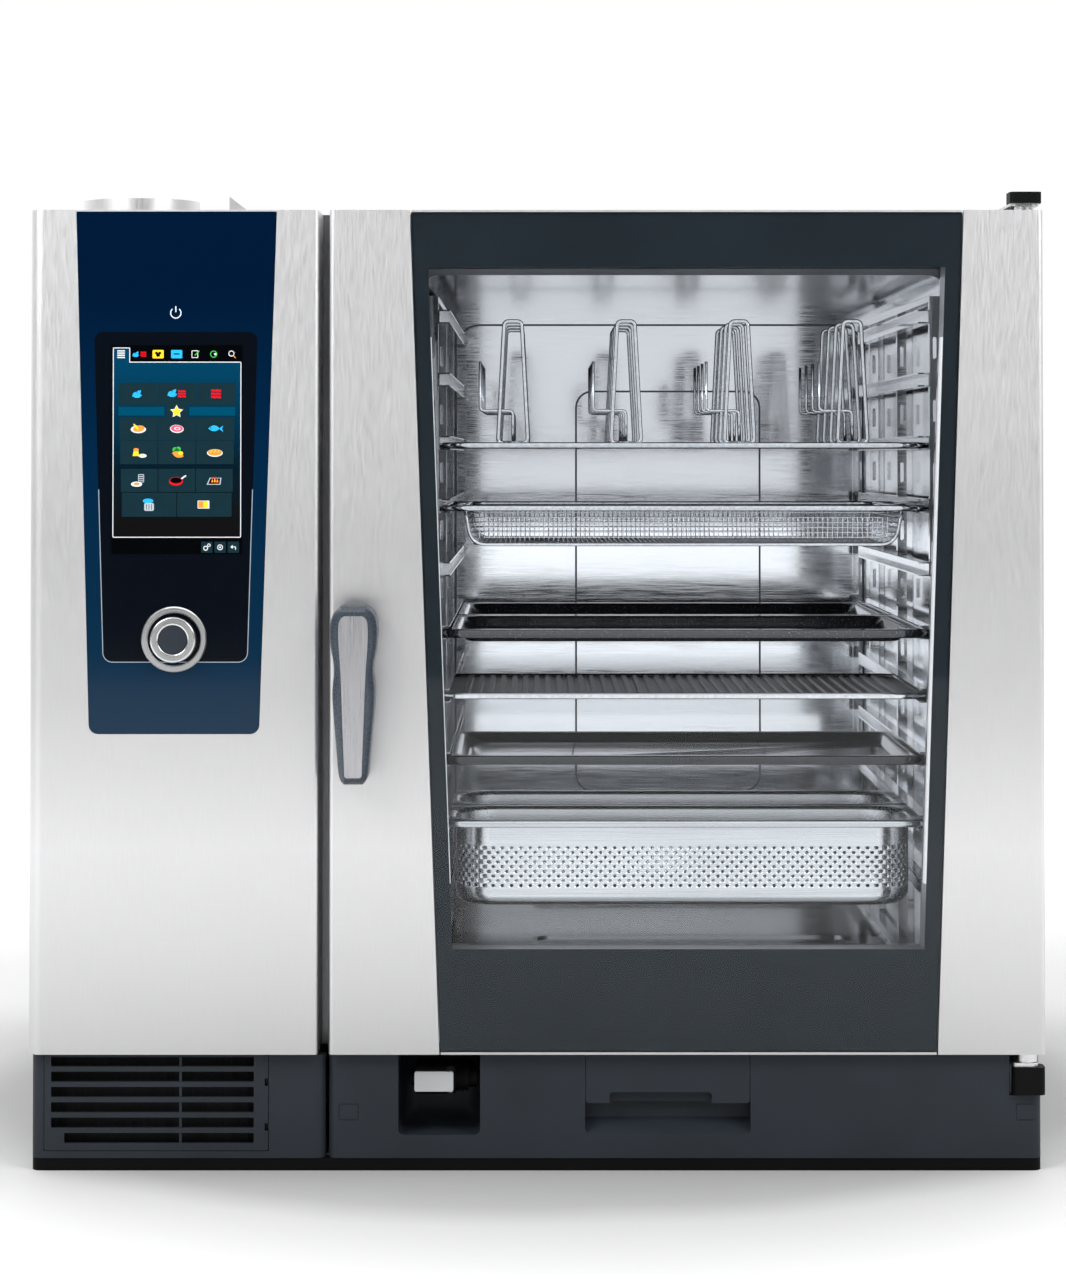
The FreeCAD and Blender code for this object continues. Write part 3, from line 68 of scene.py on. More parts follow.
# ---- mesh building -------------------------------------------------------------------------------
class Shape:
    """Collects closed solids with a material number each and turns them into one object."""

    def __init__(self):
        self.verts = []
        self.faces = []
        self.paints = []

    def add(self, verts, faces, paint=0):
        start = len(self.verts)
        self.verts += [tuple(v) for v in verts]
        self.faces += [tuple(start + i for i in face) for face in faces]
        self.paints += [paint] * len(faces)

    def prism(self, outline, y0, y1, paint=0):
        """An outline of (x, z) points pushed from y0 back to y1."""
        self.skin([[(x, y, z) for x, z in outline] for y in (y0, y1)], True, paint)

    def slab(self, outline, z0, z1, paint=0):
        """An outline of (x, y) points pushed from z0 up to z1."""
        self.skin([[(x, y, z) for x, y in outline] for z in (z0, z1)], True, paint)

    def skin(self, rings, first_cap, paint=0):
        """Joins rings with the same number of points, one after the other, and closes the last."""
        count = len(rings[0])
        last = len(rings) - 1
        faces = [tuple(range(last * count, (last + 1) * count))]
        if first_cap:
            faces.append(tuple(range(count)))
        for level in range(last):
            low = level * count
            high = low + count
            for i in range(count):
                m = (i + 1) % count
                faces.append((low + i, low + m, high + m, high + i))
        self.add([v for ring in rings for v in ring], faces, paint)

    def frame(self, outer, inner, y0, y1, paint=0, whole=True):
        """A flat ring between two outlines with the same number of points, or an open band."""
        count = len(outer)
        verts = [(x, y0, z) for x, z in outer] + [(x, y0, z) for x, z in inner]
        verts += [(x, y1, z) for x, z in outer] + [(x, y1, z) for x, z in inner]
        faces = []
        if not whole:
            faces.append((0, count, 3 * count, 2 * count))
            faces.append((count - 1, 3 * count - 1, 4 * count - 1, 2 * count - 1))
        for i in range(count if whole else count - 1):
            j = (i + 1) % count
            faces.append((i, j, count + j, count + i))
            faces.append((2 * count + i, 3 * count + i, 3 * count + j, 2 * count + j))
            faces.append((i, 2 * count + i, 2 * count + j, j))
            faces.append((count + i, count + j, 3 * count + j, 3 * count + i))
        self.add(verts, faces, paint)

    def sweep(self, path, radius, sides=8, closed=False, paint=0):
        """A round tube along a path of points, with square-cut ends unless it is closed."""
        path = [Vector(p) for p in path]
        count = len(path)
        verts = []
        normal = None
        for i, point in enumerate(path):
            before = path[i - 1] if i or closed else path[i]
            after = path[(i + 1) % count] if i + 1 < count or closed else path[i]
            run = (after - before).normalized()
            if normal is None:
                normal = run.orthogonal().normalized()
            normal = (normal - run * normal.dot(run)).normalized()
            side = run.cross(normal)
            for k in range(sides):
                angle = 2 * math.pi * k / sides
                verts.append(point + radius * (math.cos(angle) * normal + math.sin(angle) * side))
        faces = []
        for i in range(count if closed else count - 1):
            j = (i + 1) % count
            for k in range(sides):
                m = (k + 1) % sides
                faces.append((i * sides + k, i * sides + m, j * sides + m, j * sides + k))
        if not closed:
            faces.append(tuple(reversed(range(sides))))
            faces.append(tuple(range((count - 1) * sides, count * sides)))
        self.add(verts, faces, paint)

    def finish(self, name, body, materials, smooth=False):
        mesh = bpy.data.meshes.new(name)
        mesh.from_pydata(self.verts, [], self.faces)
        for material in materials:
            mesh.materials.append(material)
        mesh.polygons.foreach_set("material_index", self.paints)
        if smooth:
            mesh.polygons.foreach_set("use_smooth", [True] * len(mesh.polygons))
        work = bmesh.new()
        work.from_mesh(mesh)
        bmesh.ops.recalc_face_normals(work, faces=work.faces)
        work.to_mesh(mesh)
        work.free()
        piece = bpy.data.objects.new(name, mesh)
        bpy.context.collection.objects.link(piece)
        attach(piece, body)
        return piece


def arc(cx, cz, radius, start, end, steps):
    """Points on an arc in X and Z; angles in degrees from +X towards +Z."""
    out = []
    for i in range(steps + 1):
        angle = math.radians(start + (end - start) * i / steps)
        out.append((cx + radius * math.cos(angle), cz + radius * math.sin(angle)))
    return out


def disc(cx, cz, radius, steps=24):
    return arc(cx, cz, radius, 0, 360 * (steps - 1) / steps, steps - 1)


def turned_outline(outline, cx, cz, tilt):
    """An outline drawn round the origin, tilted by degrees and moved to its place."""
    cos, sin = math.cos(math.radians(tilt)), math.sin(math.radians(tilt))
    return [(cx + x * cos - z * sin, cz + x * sin + z * cos) for x, z in outline]


def ellipse(cx, cz, rx, rz, tilt=0, steps=20):
    angles = [2 * math.pi * i / steps for i in range(steps)]
    return turned_outline([(rx * math.cos(a), rz * math.sin(a)) for a in angles], cx, cz, tilt)


def rounded_corners(corners, radii, steps=6):
    """Rounds each corner of an outline drawn anticlockwise or clockwise; a radius of 0 keeps it sharp."""
    out = []
    count = len(corners)
    for i, (corner, radius) in enumerate(zip(corners, radii)):
        here = Vector(corner)
        back = (Vector(corners[i - 1]) - here).normalized()
        on = (Vector(corners[(i + 1) % count]) - here).normalized()
        if radius <= 0:
            out += [tuple(here)] * (steps + 1)
            continue
        half = back.angle(on) / 2
        reach = radius / math.tan(half)
        centre = here + (back + on).normalized() * radius / math.sin(half)
        first = here + back * reach - centre
        turn = first.angle_signed(here + on * reach - centre)
        for k in range(steps + 1):
            angle = -turn * k / steps
            out.append(tuple(centre + Matrix.Rotation(angle, 2) @ first))
    return out


def rectangle(x0, x1, z0, z1, radius=0, steps=6):
    return rounded_corners([(x0, z0), (x1, z0), (x1, z1), (x0, z1)], [radius] * 4, steps)


# ---- materials -----------------------------------------------------------------------------------
def srgb(r, g, b):
    def linear(value):
        value /= 255
        return value / 12.92 if value <= 0.04045 else ((value + 0.055) / 1.055) ** 2.4
    return (linear(r), linear(g), linear(b), 1)


def colours(*stops):
    """Colour stops from pairs of a place and a colour with levels from 0 to 255."""
    return [(place, srgb(*colour)) for place, colour in stops]


def shades(dark, light):
    """Colour stops for noise that runs between two colours."""
    return colours((0.3, dark), (0.7, light))


def greys(levels):
    """Colour stops from pairs of a place and a grey level."""
    return [(place, (level, level, level, 1)) for place, level in levels]


class Look:
    """The node tree of a material or world while it is built, with its main shader."""

    def __init__(self, owner, shader):
        owner.use_nodes = True
        self.owner = owner
        self.nodes = owner.node_tree.nodes
        self.links = owner.node_tree.links
        self.shader = self.nodes[shader]

    def feed(self, node, values):
        """Sets a node's inputs, each to a value or to the output of another node."""
        for name, value in values.items():
            if isinstance(value, bpy.types.NodeSocket):
                self.links.new(value, node.inputs[name])
            else:
                node.inputs[name].default_value = value

    def node(self, kind, values=None, **settings):
        made = self.nodes.new("ShaderNode" + kind)
        for name, value in settings.items():
            setattr(made, name, value)
        self.feed(made, values or {})
        return made

    def here(self):
        """The place on the object, in metres."""
        return self.node("TexCoord").outputs["Object"]

    def axis(self, name):
        return self.node("SeparateXYZ", {"Vector": self.here()}).outputs[name]

    def noise(self, scale, stretch=(1, 1, 1), detail=2.0):
        mapping = self.node("Mapping", {"Scale": stretch, "Vector": self.here()})
        values = {"Scale": scale, "Detail": detail, "Vector": mapping.outputs["Vector"]}
        return self.node("TexNoise", values).outputs["Fac"]

    def ramp(self, source, stops):
        node = self.node("ValToRGB", {"Fac": source})
        elements = node.color_ramp.elements
        while len(elements) < len(stops):
            elements.new(0.5)
        for element, (place, colour) in zip(elements, stops):
            element.position = place
            element.color = colour
        return node.outputs["Color"]

    def spread(self, source, low, high, start=0.3, end=0.7):
        """Turns the values from start to end into values from low to high."""
        values = {"Value": source, "From Min": start, "From Max": end, "To Min": low, "To Max": high}
        return self.node("MapRange", values).outputs["Result"]

    def blend(self, kind, first, second):
        values = {"Factor": 1.0, "A": first, "B": second}
        return self.node("Mix", values, data_type="RGBA", blend_type=kind).outputs["Result"]

    def bump(self, source, strength, distance):
        values = {"Strength": strength, "Distance": distance, "Height": source}
        self.feed(self.shader, {"Normal": self.node("Bump", values).outputs["Normal"]})


def new_look(name, colour, metallic=0.0, roughness=0.5):
    look = Look(bpy.data.materials.new(name), "Principled BSDF")
    look.feed(look.shader, {"Base Color": colour, "Metallic": metallic, "Roughness": roughness})
    return look


def brushed(name, dark, light, roughness, stretch=(1, 1, 0.008), scale=1400, bump_strength=0.06, painted_light_bands=None):
    """Steel with fine parallel brush lines along the axis whose stretch is smallest.

    The bands of painted light and shade are pairs of a height and a level, and make the colour darker at some
    heights.
    """
    look = new_look(name, srgb(*light), 1.0, roughness)
    lines = look.noise(scale, stretch, 3.0)
    cloud = look.noise(5.0)
    both = look.node("Mix", {"Factor": 0.3, "A": lines, "B": cloud}, data_type="FLOAT").outputs["Result"]
    colour = look.ramp(both, shades(dark, light))
    # Painted light and shade: the colour is multiplied by a level read from the height.
    if painted_light_bands:
        colour = look.blend("MULTIPLY", colour, look.ramp(look.axis("Z"), greys(painted_light_bands)))
    gloss = look.spread(lines, roughness - 0.05, roughness + 0.07)
    look.feed(look.shader, {"Base Color": colour, "Roughness": gloss})
    look.bump(lines, bump_strength, 0.0002)
    return look.owner


def turned(name, dark, light, roughness):
    """Metal turned on a lathe: fine rings round the dial's axis."""
    look = new_look(name, srgb(*light), 1.0, roughness)
    shift = look.node("VectorMath", {0: look.here(), 1: tuple(DIAL)}, operation="SUBTRACT")
    flat = look.node("VectorMath", {0: shift.outputs["Vector"], 1: (1, 0, 1)}, operation="MULTIPLY")
    reach = look.node("VectorMath", {0: flat.outputs["Vector"]}, operation="LENGTH")
    values = {"Scale": 900.0, "W": reach.outputs["Value"]}
    rings = look.node("TexNoise", values, noise_dimensions="1D").outputs["Fac"]
    along = look.node("Tangent", direction_type="RADIAL", axis="Y")
    look.feed(look.shader, {
        "Base Color": look.ramp(rings, shades(dark, light)),
        "Roughness": look.spread(rings, roughness - 0.04, roughness + 0.06),
        "Anisotropic": 0.3,
        "Tangent": along.outputs["Tangent"],
    })
    return look.owner


def grained(name, dark, light, roughness, grain=900, bump_strength=0.12, metallic=0.0, gloss=0.2):
    """Moulded or painted surface with a fine grain and faint cloudiness."""
    look = new_look(name, srgb(*light), metallic, roughness)
    fine = look.noise(grain)
    cloud = look.noise(9.0, detail=3.0)
    look.feed(look.shader, {
        "Base Color": look.ramp(cloud, shades(dark, light)),
        "Roughness": look.spread(fine, roughness - 0.05, roughness + 0.06),
        "Specular IOR Level": gloss,
    })
    look.bump(fine, bump_strength, 0.0003)
    return look.owner


def clear_glass(name, tint, bend):
    """Thin clear pane: mostly see-through, with a mirror-like share that grows at grazing angles."""
    look = Look(bpy.data.materials.new(name), "Material Output")
    look.nodes.remove(look.nodes["Principled BSDF"])
    through = look.node("BsdfTransparent", {"Color": tint})
    mirror = look.node("BsdfGlossy", {"Roughness": 0.02})
    facing = look.node("Fresnel", {"IOR": bend})
    values = {"Fac": facing.outputs["Fac"], 1: through.outputs["BSDF"], 2: mirror.outputs["BSDF"]}
    look.feed(look.shader, {"Surface": look.node("MixShader", values).outputs["Shader"]})
    return look.owner


def under_glass(name, colour, light=0.0, roughness=0.08):
    """Print or a lit picture element seen under the panel's glass."""
    colour = srgb(*colour)
    look = new_look(name, colour, 0.0, roughness)
    darker = tuple(c * 0.93 for c in colour[:3]) + (1,)
    patch = look.ramp(look.noise(60.0), [(0.35, darker), (0.65, colour)])
    look.feed(look.shader, {"Base Color": patch, "Specular IOR Level": 0.22})
    if light:
        look.feed(look.shader, {"Emission Color": colour, "Emission Strength": light})
    return look.owner


def blue_panel_glass():
    look = new_look("blue_panel_glass", srgb(10, 42, 76), 0.0, 0.07)
    height = look.spread(look.axis("Z"), 0, 1, GLASS_LOW.z, GLASS_HIGH.z)
    fade = colours((0.0, (10, 40, 62)), (0.2, (6, 38, 62)), (0.55, (1, 32, 60)), (0.85, (0, 20, 46)))
    look.feed(look.shader, {"Base Color": look.ramp(height, fade), "Specular IOR Level": 0.22})
    return look.owner


def speckled_enamel():
    look = new_look("speckled_enamel", srgb(24, 25, 28), 0.0, 0.16)
    specks = look.node("TexVoronoi", {"Scale": 420.0, "Vector": look.here()})
    stops = colours((0.08, (150, 152, 158)), (0.16, (22, 23, 26)))
    look.feed(look.shader, {
        "Base Color": look.ramp(specks.outputs["Distance"], stops),
        "Coat Weight": 0.6,
        "Coat Roughness": 0.05,
    })
    look.bump(look.noise(120.0), 0.08, 0.0004)
    return look.owner


def lamp_material():
    look = new_look("lamp_lens", srgb(245, 246, 248), 0.0, 0.4)
    look.bump(look.noise(300.0), 0.1, 0.0003)
    look.feed(look.shader, {"Emission Color": (1, 1, 1, 1), "Emission Strength": 0.45})
    return look.owner


# Painted light and shade as levels of the steel's colour at heights: sheen bands on the front casing, and
# painted shade that darkens the cavity's floor.
CASING_PAINTED_SHEEN = ((0.12, 0.66), (0.2, 0.76), (0.34, 0.90), (0.50, 0.76), (0.66, 0.74), (0.82, 0.90), (1.0, 1.0))
CAVITY_PAINTED_SHADE = ((0.14, 0.6), (0.17, 0.65), (0.2, 1.0))
# Front casing steel with painted sheen bands over its height.
CASING = brushed("casing_steel", (238, 238, 239), (246, 246, 247), 0.40, (1, 1, 0.02), 2200, 0.05, CASING_PAINTED_SHEEN)
# Side, top and back panels: a darker copy of the casing steel, painted shade so that they don't wash out in
# the light.
CASING_SIDE_SHADED = brushed("casing_steel_side_shaded", (150, 151, 153), (162, 163, 165), 0.34, (1, 0.02, 1), 2200, 0.05)
# Cabinet front round the door opening: a darker copy of light steel, painted shade of the gaps beside the
# door.
FRONT_STEEL_PAINTED_SHADE = brushed("cabinet_front_steel", (112, 113, 115), (128, 129, 131), 0.34)
# Cavity steel, darker at its floor: painted shade.
CAVITY = brushed(
    "cavity_steel", (214, 215, 218), (228, 229, 231), 0.09, (0.02, 1, 1), 1200, 0.006, CAVITY_PAINTED_SHADE)
STRUCTURE = brushed("structure_steel", (150, 152, 156), (180, 182, 186), 0.38, (0.01, 1, 1), 700)
HINGE_STEEL = brushed("hinge_steel", (200, 200, 202), (226, 226, 228), 0.3, (1, 0.01, 1), 900)
POLISHED = brushed("wire_steel", (186, 188, 191), (214, 216, 218), 0.12, (1, 1, 1), 300, 0.02)
CONTAINER = brushed("container_steel", (196, 198, 200), (224, 226, 228), 0.24, (0.01, 1, 1), 700, 0.03)
DIAL_METAL = turned("dial_metal", (204, 205, 206), (216, 217, 218), 0.2)
INSERT_METAL = brushed("insert_metal", (182, 182, 186), (200, 200, 204), 0.30, (1, 1, 0.02), 1500, 0.03)
ANTHRACITE = grained("anthracite_plastic", (36, 41, 47), (41, 47, 54), 0.46)
BLACK = grained("black_plastic", (8, 9, 9), (13, 13, 14), 0.5, gloss=0.08)
GRIP = grained("grip_plastic", (50, 58, 68), (60, 69, 79), 0.28, 700, 0.03, gloss=0.5)
GRILL = grained("grill_coating", (70, 72, 77), (88, 90, 95), 0.32, 260, 0.15, 0.4, 0.4)
FIBRE = grained("filter_fibre", (9, 10, 11), (20, 22, 24), 0.9, 420, 0.8)
TRIGGER = grained("trigger_plastic", (160, 163, 164), (178, 180, 181), 0.45)
DIAL_CAP = grained("dial_cap", (38, 44, 52), (50, 56, 64), 0.35)
RUBBER = grained("seal_rubber", (30, 31, 32), (42, 43, 44), 0.62, 500, 0.15)
WOOL = grained("mineral_wool", (176, 160, 100), (206, 190, 130), 0.9, 160, 0.8)
HEATER = grained("heater_tube", (74, 62, 52), (112, 100, 90), 0.42, 300, 0.1, 0.9, 0.4)
MOTOR = grained("motor_paint", (52, 56, 60), (66, 70, 74), 0.4)
BRASS = grained("valve_brass", (176, 136, 62), (206, 168, 92), 0.32, 300, 0.08, 1.0)
ENAMEL = speckled_enamel()
LAMP = lamp_material()
PANE = clear_glass("door_pane", (0.95, 0.96, 0.97, 1), 1.22)
BLUE_GLASS = blue_panel_glass()

SLOT_MATERIALS = {
    "casing_steel": CASING,
    "cabinet_front_steel": FRONT_STEEL_PAINTED_SHADE,
    "cavity_steel": CAVITY,
    "structure_steel": STRUCTURE,
    "hinge_steel": HINGE_STEEL,
    "anthracite_plastic": ANTHRACITE,
    "black_plastic": BLACK,
    "grip_plastic": GRIP,
    "trigger_plastic": TRIGGER,
    "dial_metal": DIAL_METAL,
    "dial_cap": DIAL_CAP,
    "seal_rubber": RUBBER,
    "door_glass": PANE,
    "panel_glass": BLUE_GLASS,
    "mineral_wool": WOOL,
    "enamel": ENAMEL,
    "wire_steel": POLISHED,
    "container_steel": CONTAINER,
    "heater_tube": HEATER,
    "motor_paint": MOTOR,
    "valve_brass": BRASS,
    "screw_steel": POLISHED,
    "lamp_lens": LAMP,
}


def dress_nodes():
    """Gives every CAD node the material of its slot."""
    for part in frame["record"]["subparts"]:
        node = NODES[part["node"]]
        node.data.materials.clear()
        node.data.materials.append(SLOT_MATERIALS[part["material_slot"]])
    # The side, top and back panels take the darker copy of the casing steel: painted shade.
    for name in ("side_panel_left", "side_panel_right", "top_panel", "rear_panel"):
        NODES[name].data.materials[0] = CASING_SIDE_SHADED
    NODES["handle_insert"].data.materials[0] = INSERT_METAL


# ---- control panel -------------------------------------------------------------------------------
SCREEN_W = 0.1388
SCREEN_H = 0.2207
SCREEN_X = DIAL.x + 0.0024
SCREEN_Z = DIAL.z + 0.0897
FIELD_TOP = DIAL.z + 0.3245
FIELD_BOTTOM = DIAL.z - 0.0245


def on_screen(u, v):
    """A place on the screen: u from left to right, v from top to bottom, each from 0 to 1."""
    return SCREEN_X + (u - 0.5) * SCREEN_W, SCREEN_Z + (1 - v) * SCREEN_H


def screen_rectangle(u0, u1, v0, v1, radius=0.0, taper=0.0):
    x0, z1 = on_screen(u0, v0)
    x1, z0 = on_screen(u1, v1)
    pull = taper * SCREEN_W
    centre = SCREEN_X

    def drawn_in(x):
        return x + pull * (centre - x) / (SCREEN_W / 2)

    corners = [(drawn_in(x0), z0), (drawn_in(x1), z0), (x1, z1), (x0, z1)]
    return rounded_corners(corners, [radius] * 4, 3)


def control_field():
    """The black field around the screen, with the silver line round its lower part."""
    shape = Shape()
    half_top = 0.0864
    half_bottom = 0.0765
    middle_x = DIAL.x + 0.0012
    line_top = DIAL.z + 0.158
    line = 0.0009

    def half(z):
        share = (z - FIELD_BOTTOM) / (FIELD_TOP - FIELD_BOTTOM)
        return half_bottom + share * (half_top - half_bottom)

    def corners(top_z, inset):
        top = half(top_z) - inset
        bottom = half_bottom - inset
        sides = ((-top, top_z), (-bottom, FIELD_BOTTOM + inset), (bottom, FIELD_BOTTOM + inset), (top, top_z))
        return [(middle_x + x, z) for x, z in sides]

    field = rounded_corners(corners(FIELD_TOP, 0), [0.0095] * 4, 8)
    shape.prism(field, FRONT_Y - 0.5 * PROUD, FRONT_Y + 0.0004, 0)
    outer = rounded_corners(corners(line_top, 0), [0, 0.0105, 0.0105, 0], 8)
    inner = rounded_corners(corners(line_top, line), [0, 0.0096, 0.0096, 0], 8)
    shape.frame(outer[8:-8], inner[8:-8], FRONT_Y - 0.9 * PROUD, FRONT_Y + 0.0003, 1, whole=False)
    black = under_glass("panel_black_print", (7, 12, 20))
    silver = under_glass("panel_silver_line", (150, 160, 170), 0.0, 0.3)
    piece = shape.finish("control_field", "cabinet", [black, silver])


def star(cx, cz, radius, inner=0.42, points=5):
    out = []
    for i in range(2 * points):
        reach = radius if i % 2 == 0 else radius * inner
        angle = math.radians(90 + 180 * i / points)
        out.append((cx + reach * math.cos(angle), cz + reach * math.sin(angle)))
    return out


def leaf(cx, cz, size, tilt):
    out = []
    for i in range(17):
        t = i / 16
        out.append((size * (t - 0.5), size * 0.28 * math.sin(math.pi * t)))
    out += [(x, -z * 0.8) for x, z in reversed(out[1:-1])]
    return turned_outline(out, cx, cz, tilt)


# Numbers of the screen's colours, in the order of screen_colours.
INK, PAGE, SKY, RED, YELLOW, ORANGE, GREEN, WHITE, PINK, GREY, CELL, BAND = range(12)


class Icons:
    """Draws small pictures on the screen in their own units, each element a thin plate under the glass."""

    def __init__(self, shape):
        self.shape = shape

    def draw(self, picture, x, z, size):
        self.x = x
        self.z = z
        self.size = size
        picture()

    def placed(self, outline):
        return [(self.x + x * self.size, self.z + z * self.size) for x, z in outline]

    def put(self, outline, colour, lift=0):
        y0 = FRONT_Y - PROUD * (2.4 + 0.25 * lift)
        self.shape.prism(self.placed(outline), y0, FRONT_Y - PROUD * 1.6, colour)

    def hoop(self, outer, inner, colour):
        y0 = FRONT_Y - PROUD * 2.4
        self.shape.frame(self.placed(outer), self.placed(inner), y0, FRONT_Y - PROUD * 1.6, colour)

    def ring(self, x, z, radius, width, colour):
        self.hoop(disc(x, z, radius), disc(x, z, radius - width), colour)

    def steam(self):
        for x, z, tilt in ((-0.5, -0.1, 40), (0.15, 0.15, 50), (0.1, -0.45, 15)):
            self.put(leaf(x, z, 1.5, tilt), SKY)
        self.put(ellipse(-0.2, -0.3, 0.75, 0.5), SKY, 1)

    def heat(self):
        for row in range(3):
            low = (row - 1) * 0.62 - 0.22
            points = [((i / 8 - 0.5) * 1.9, low + 0.07 * math.sin(i * 1.6)) for i in range(9)]
            upper = [(x, z + 0.44) for x, z in reversed(points)]
            self.put(points + upper, RED)

    def roast(self):
        self.put(ellipse(0, -0.15, 1.5, 0.75), WHITE)
        self.put(ellipse(0.1, 0, 1.15, 0.62, 8), ORANGE, 1)
        self.put(ellipse(-0.45, 0.35, 0.75, 0.22, 130), YELLOW, 2)

    def steak(self):
        self.put(ellipse(0, -0.05, 1.35, 0.8, -4), WHITE)
        self.put(ellipse(0, 0.03, 1.2, 0.66, -4), PINK, 1)
        self.put(ellipse(0.1, 0, 0.62, 0.32, -4), WHITE, 2)
        self.put(ellipse(0.12, 0, 0.36, 0.17, -4), PINK, 3)

    def fish(self):
        self.put(leaf(-0.25, 0, 2.3, 0), SKY)
        self.put([(0.7, 0), (1.55, 0.6), (1.3, 0), (1.55, -0.65)], SKY)
        self.put(disc(-0.9, 0.1, 0.12, 10), INK, 1)

    def pudding(self):
        self.put([(-1.2, -0.7), (0.1, -0.7), (-0.15, 0.6), (-0.9, 0.6)], YELLOW)
        self.put(ellipse(-0.52, 0.55, 0.52, 0.3), ORANGE, 1)
        self.put(ellipse(0.75, -0.65, 0.8, 0.38), WHITE, 1)
        self.put(disc(0.7, -0.55, 0.2, 12), YELLOW, 2)

    def vegetables(self):
        for x, z in ((-0.35, 0.55), (0.3, 0.65), (0, 0.25)):
            self.put(disc(x, z, 0.5, 14), GREEN)
        self.put(leaf(0.2, -0.45, 2.4, -18), ORANGE, 1)
        self.put(ellipse(0.75, -0.15, 0.5, 0.38), YELLOW, 2)

    def loaf(self):
        self.put(ellipse(0, -0.1, 1.55, 0.75), WHITE)
        self.put(ellipse(0, 0, 1.4, 0.62), ORANGE, 1)
        for x in (-0.7, 0, 0.7):
            self.put(ellipse(x, 0.22, 0.34, 0.1, 60), YELLOW, 2)

    def plates(self):
        self.put(rectangle(-0.2, 0.95, -0.4, 1.2, 0.1, 2), GREY)
        for row in range(4):
            low = -0.25 + row * 0.36
            self.put(rectangle(-0.08, 0.83, low, low + 0.2, 0.02, 2), INK, 1)
        self.put(ellipse(-0.5, -0.75, 1.1, 0.5), WHITE, 2)
        self.put(ellipse(-0.5, -0.68, 0.6, 0.26), ORANGE, 3)

    def pan(self):
        self.put([(0.7, 0.35), (1.7, 1.05), (1.9, 0.85), (0.95, 0.12)], WHITE)
        self.put(ellipse(-0.15, -0.2, 1.35, 0.85), RED, 1)
        self.put(ellipse(-0.15, 0, 1.15, 0.58), INK, 2)

    def grill(self):
        self.put([(-1.5, -0.85), (1.2, -0.85), (1.4, 0.5), (-0.9, 0.5)], GREY)
        self.put([(-1.2, -0.7), (1.02, -0.7), (1.18, 0.4), (-0.75, 0.4)], INK, 1)
        for x, reach in ((-0.4, 0.8), (0.1, 1.1), (0.6, 0.85)):
            self.put([(x - 0.28, -0.4), (x + 0.28, -0.4), (x, reach - 0.2)], RED, 2)
            self.put([(x - 0.13, -0.35), (x + 0.13, -0.35), (x, reach - 0.6)], YELLOW, 3)

    def pot(self):
        self.put(rectangle(-0.95, 0.95, -1.2, 0.35, 0.3, 3), GREY)
        for x in (-0.5, 0.0, 0.5):
            self.put(rectangle(x - 0.06, x + 0.06, -1.0, 0.1, 0.02, 2), CELL, 1)
        self.put(ellipse(-0.2, 0.75, 1.05, 0.45), SKY, 1)

    def slices(self):
        self.put(rectangle(-1.3, 1.0, -0.75, 0.8, 0.12, 2), WHITE)
        self.put(rectangle(-1.2, 0.55, -0.62, 0.7, 0.1, 2), ORANGE, 1)
        self.put(rectangle(-0.2, 0.72, -0.55, 0.6, 0.1, 2), YELLOW, 2)

    def steam_and_heat(self):
        x, z, size = self.x, self.z, self.size
        self.draw(self.heat, x + 0.0052, z, size * 0.8)
        self.draw(self.steam, x - 0.0042, z + 0.001, size)

    def steam_and_heat_tab(self):
        x, z, size = self.x, self.z, self.size
        self.draw(self.heat, x + 0.004, z, size * 0.75)
        self.draw(self.steam, x - 0.0035, z, size * 0.9)

    def menu(self):
        for row in range(4):
            low = (row - 1.5) * 0.55 - 0.16
            self.put(rectangle(-0.95, 0.95, low, low + 0.32, 0.04, 2), WHITE)

    def hat(self):
        self.put(rectangle(-1.4, 1.4, -1.05, 1.05, 0.25, 3), YELLOW)
        for x in (-0.4, 0.4):
            self.put(disc(x, 0.25, 0.38, 12), INK, 1)
        self.put(rectangle(-0.45, 0.45, -0.65, 0.2, 0.05, 2), INK, 1)

    def card(self):
        self.put(rectangle(-1.4, 1.4, -1.05, 1.05, 0.25, 3), SKY)
        self.put(rectangle(-0.75, 0.75, -0.1, 0.2, 0.05, 2), INK, 1)

    def note(self):
        inner = rectangle(-0.72, 0.57, -0.77, 0.77, 0.08, 2)
        self.hoop(rectangle(-0.9, 0.75, -0.95, 0.95, 0.15, 2), inner, WHITE)
        self.put([(0, -0.4), (1.15, 0.75), (0.95, 0.95), (-0.2, -0.2)], GREEN, 1)

    def globe(self):
        self.ring(0, 0, 0.9, 0.24, GREEN)
        self.put(disc(0.4, 0, 0.3, 10), WHITE, 1)

    def lens(self):
        self.ring(-0.2, 0.15, 0.75, 0.2, WHITE)
        self.put([(0.3, -0.25), (0.95, -0.9), (0.8, -1.05), (0.15, -0.4)], ORANGE)

    def favourite(self):
        self.put(star(0, 0, 1.2, 0.5), WHITE)
        self.put(star(0, 0, 1.0, 0.5), YELLOW, 1)

    def gears(self):
        self.ring(-1.2, -1.0, 2.6, 1.0, WHITE)
        self.ring(2.2, 2.2, 1.8, 0.8, WHITE)

    def query(self):
        self.ring(0, 0, 3.0, 0.9, WHITE)
        self.put(disc(0, 0, 1.0, 12), WHITE)

    def arrow_back(self):
        self.put([(-1.0, 0.1), (-0.2, 0.8), (-0.2, -0.55)], WHITE)
        self.put(rectangle(-0.3, 0.8, 0, 0.28, 0.05, 2), WHITE)
        self.put(rectangle(0.55, 0.85, -0.75, 0.2, 0.05, 2), WHITE)


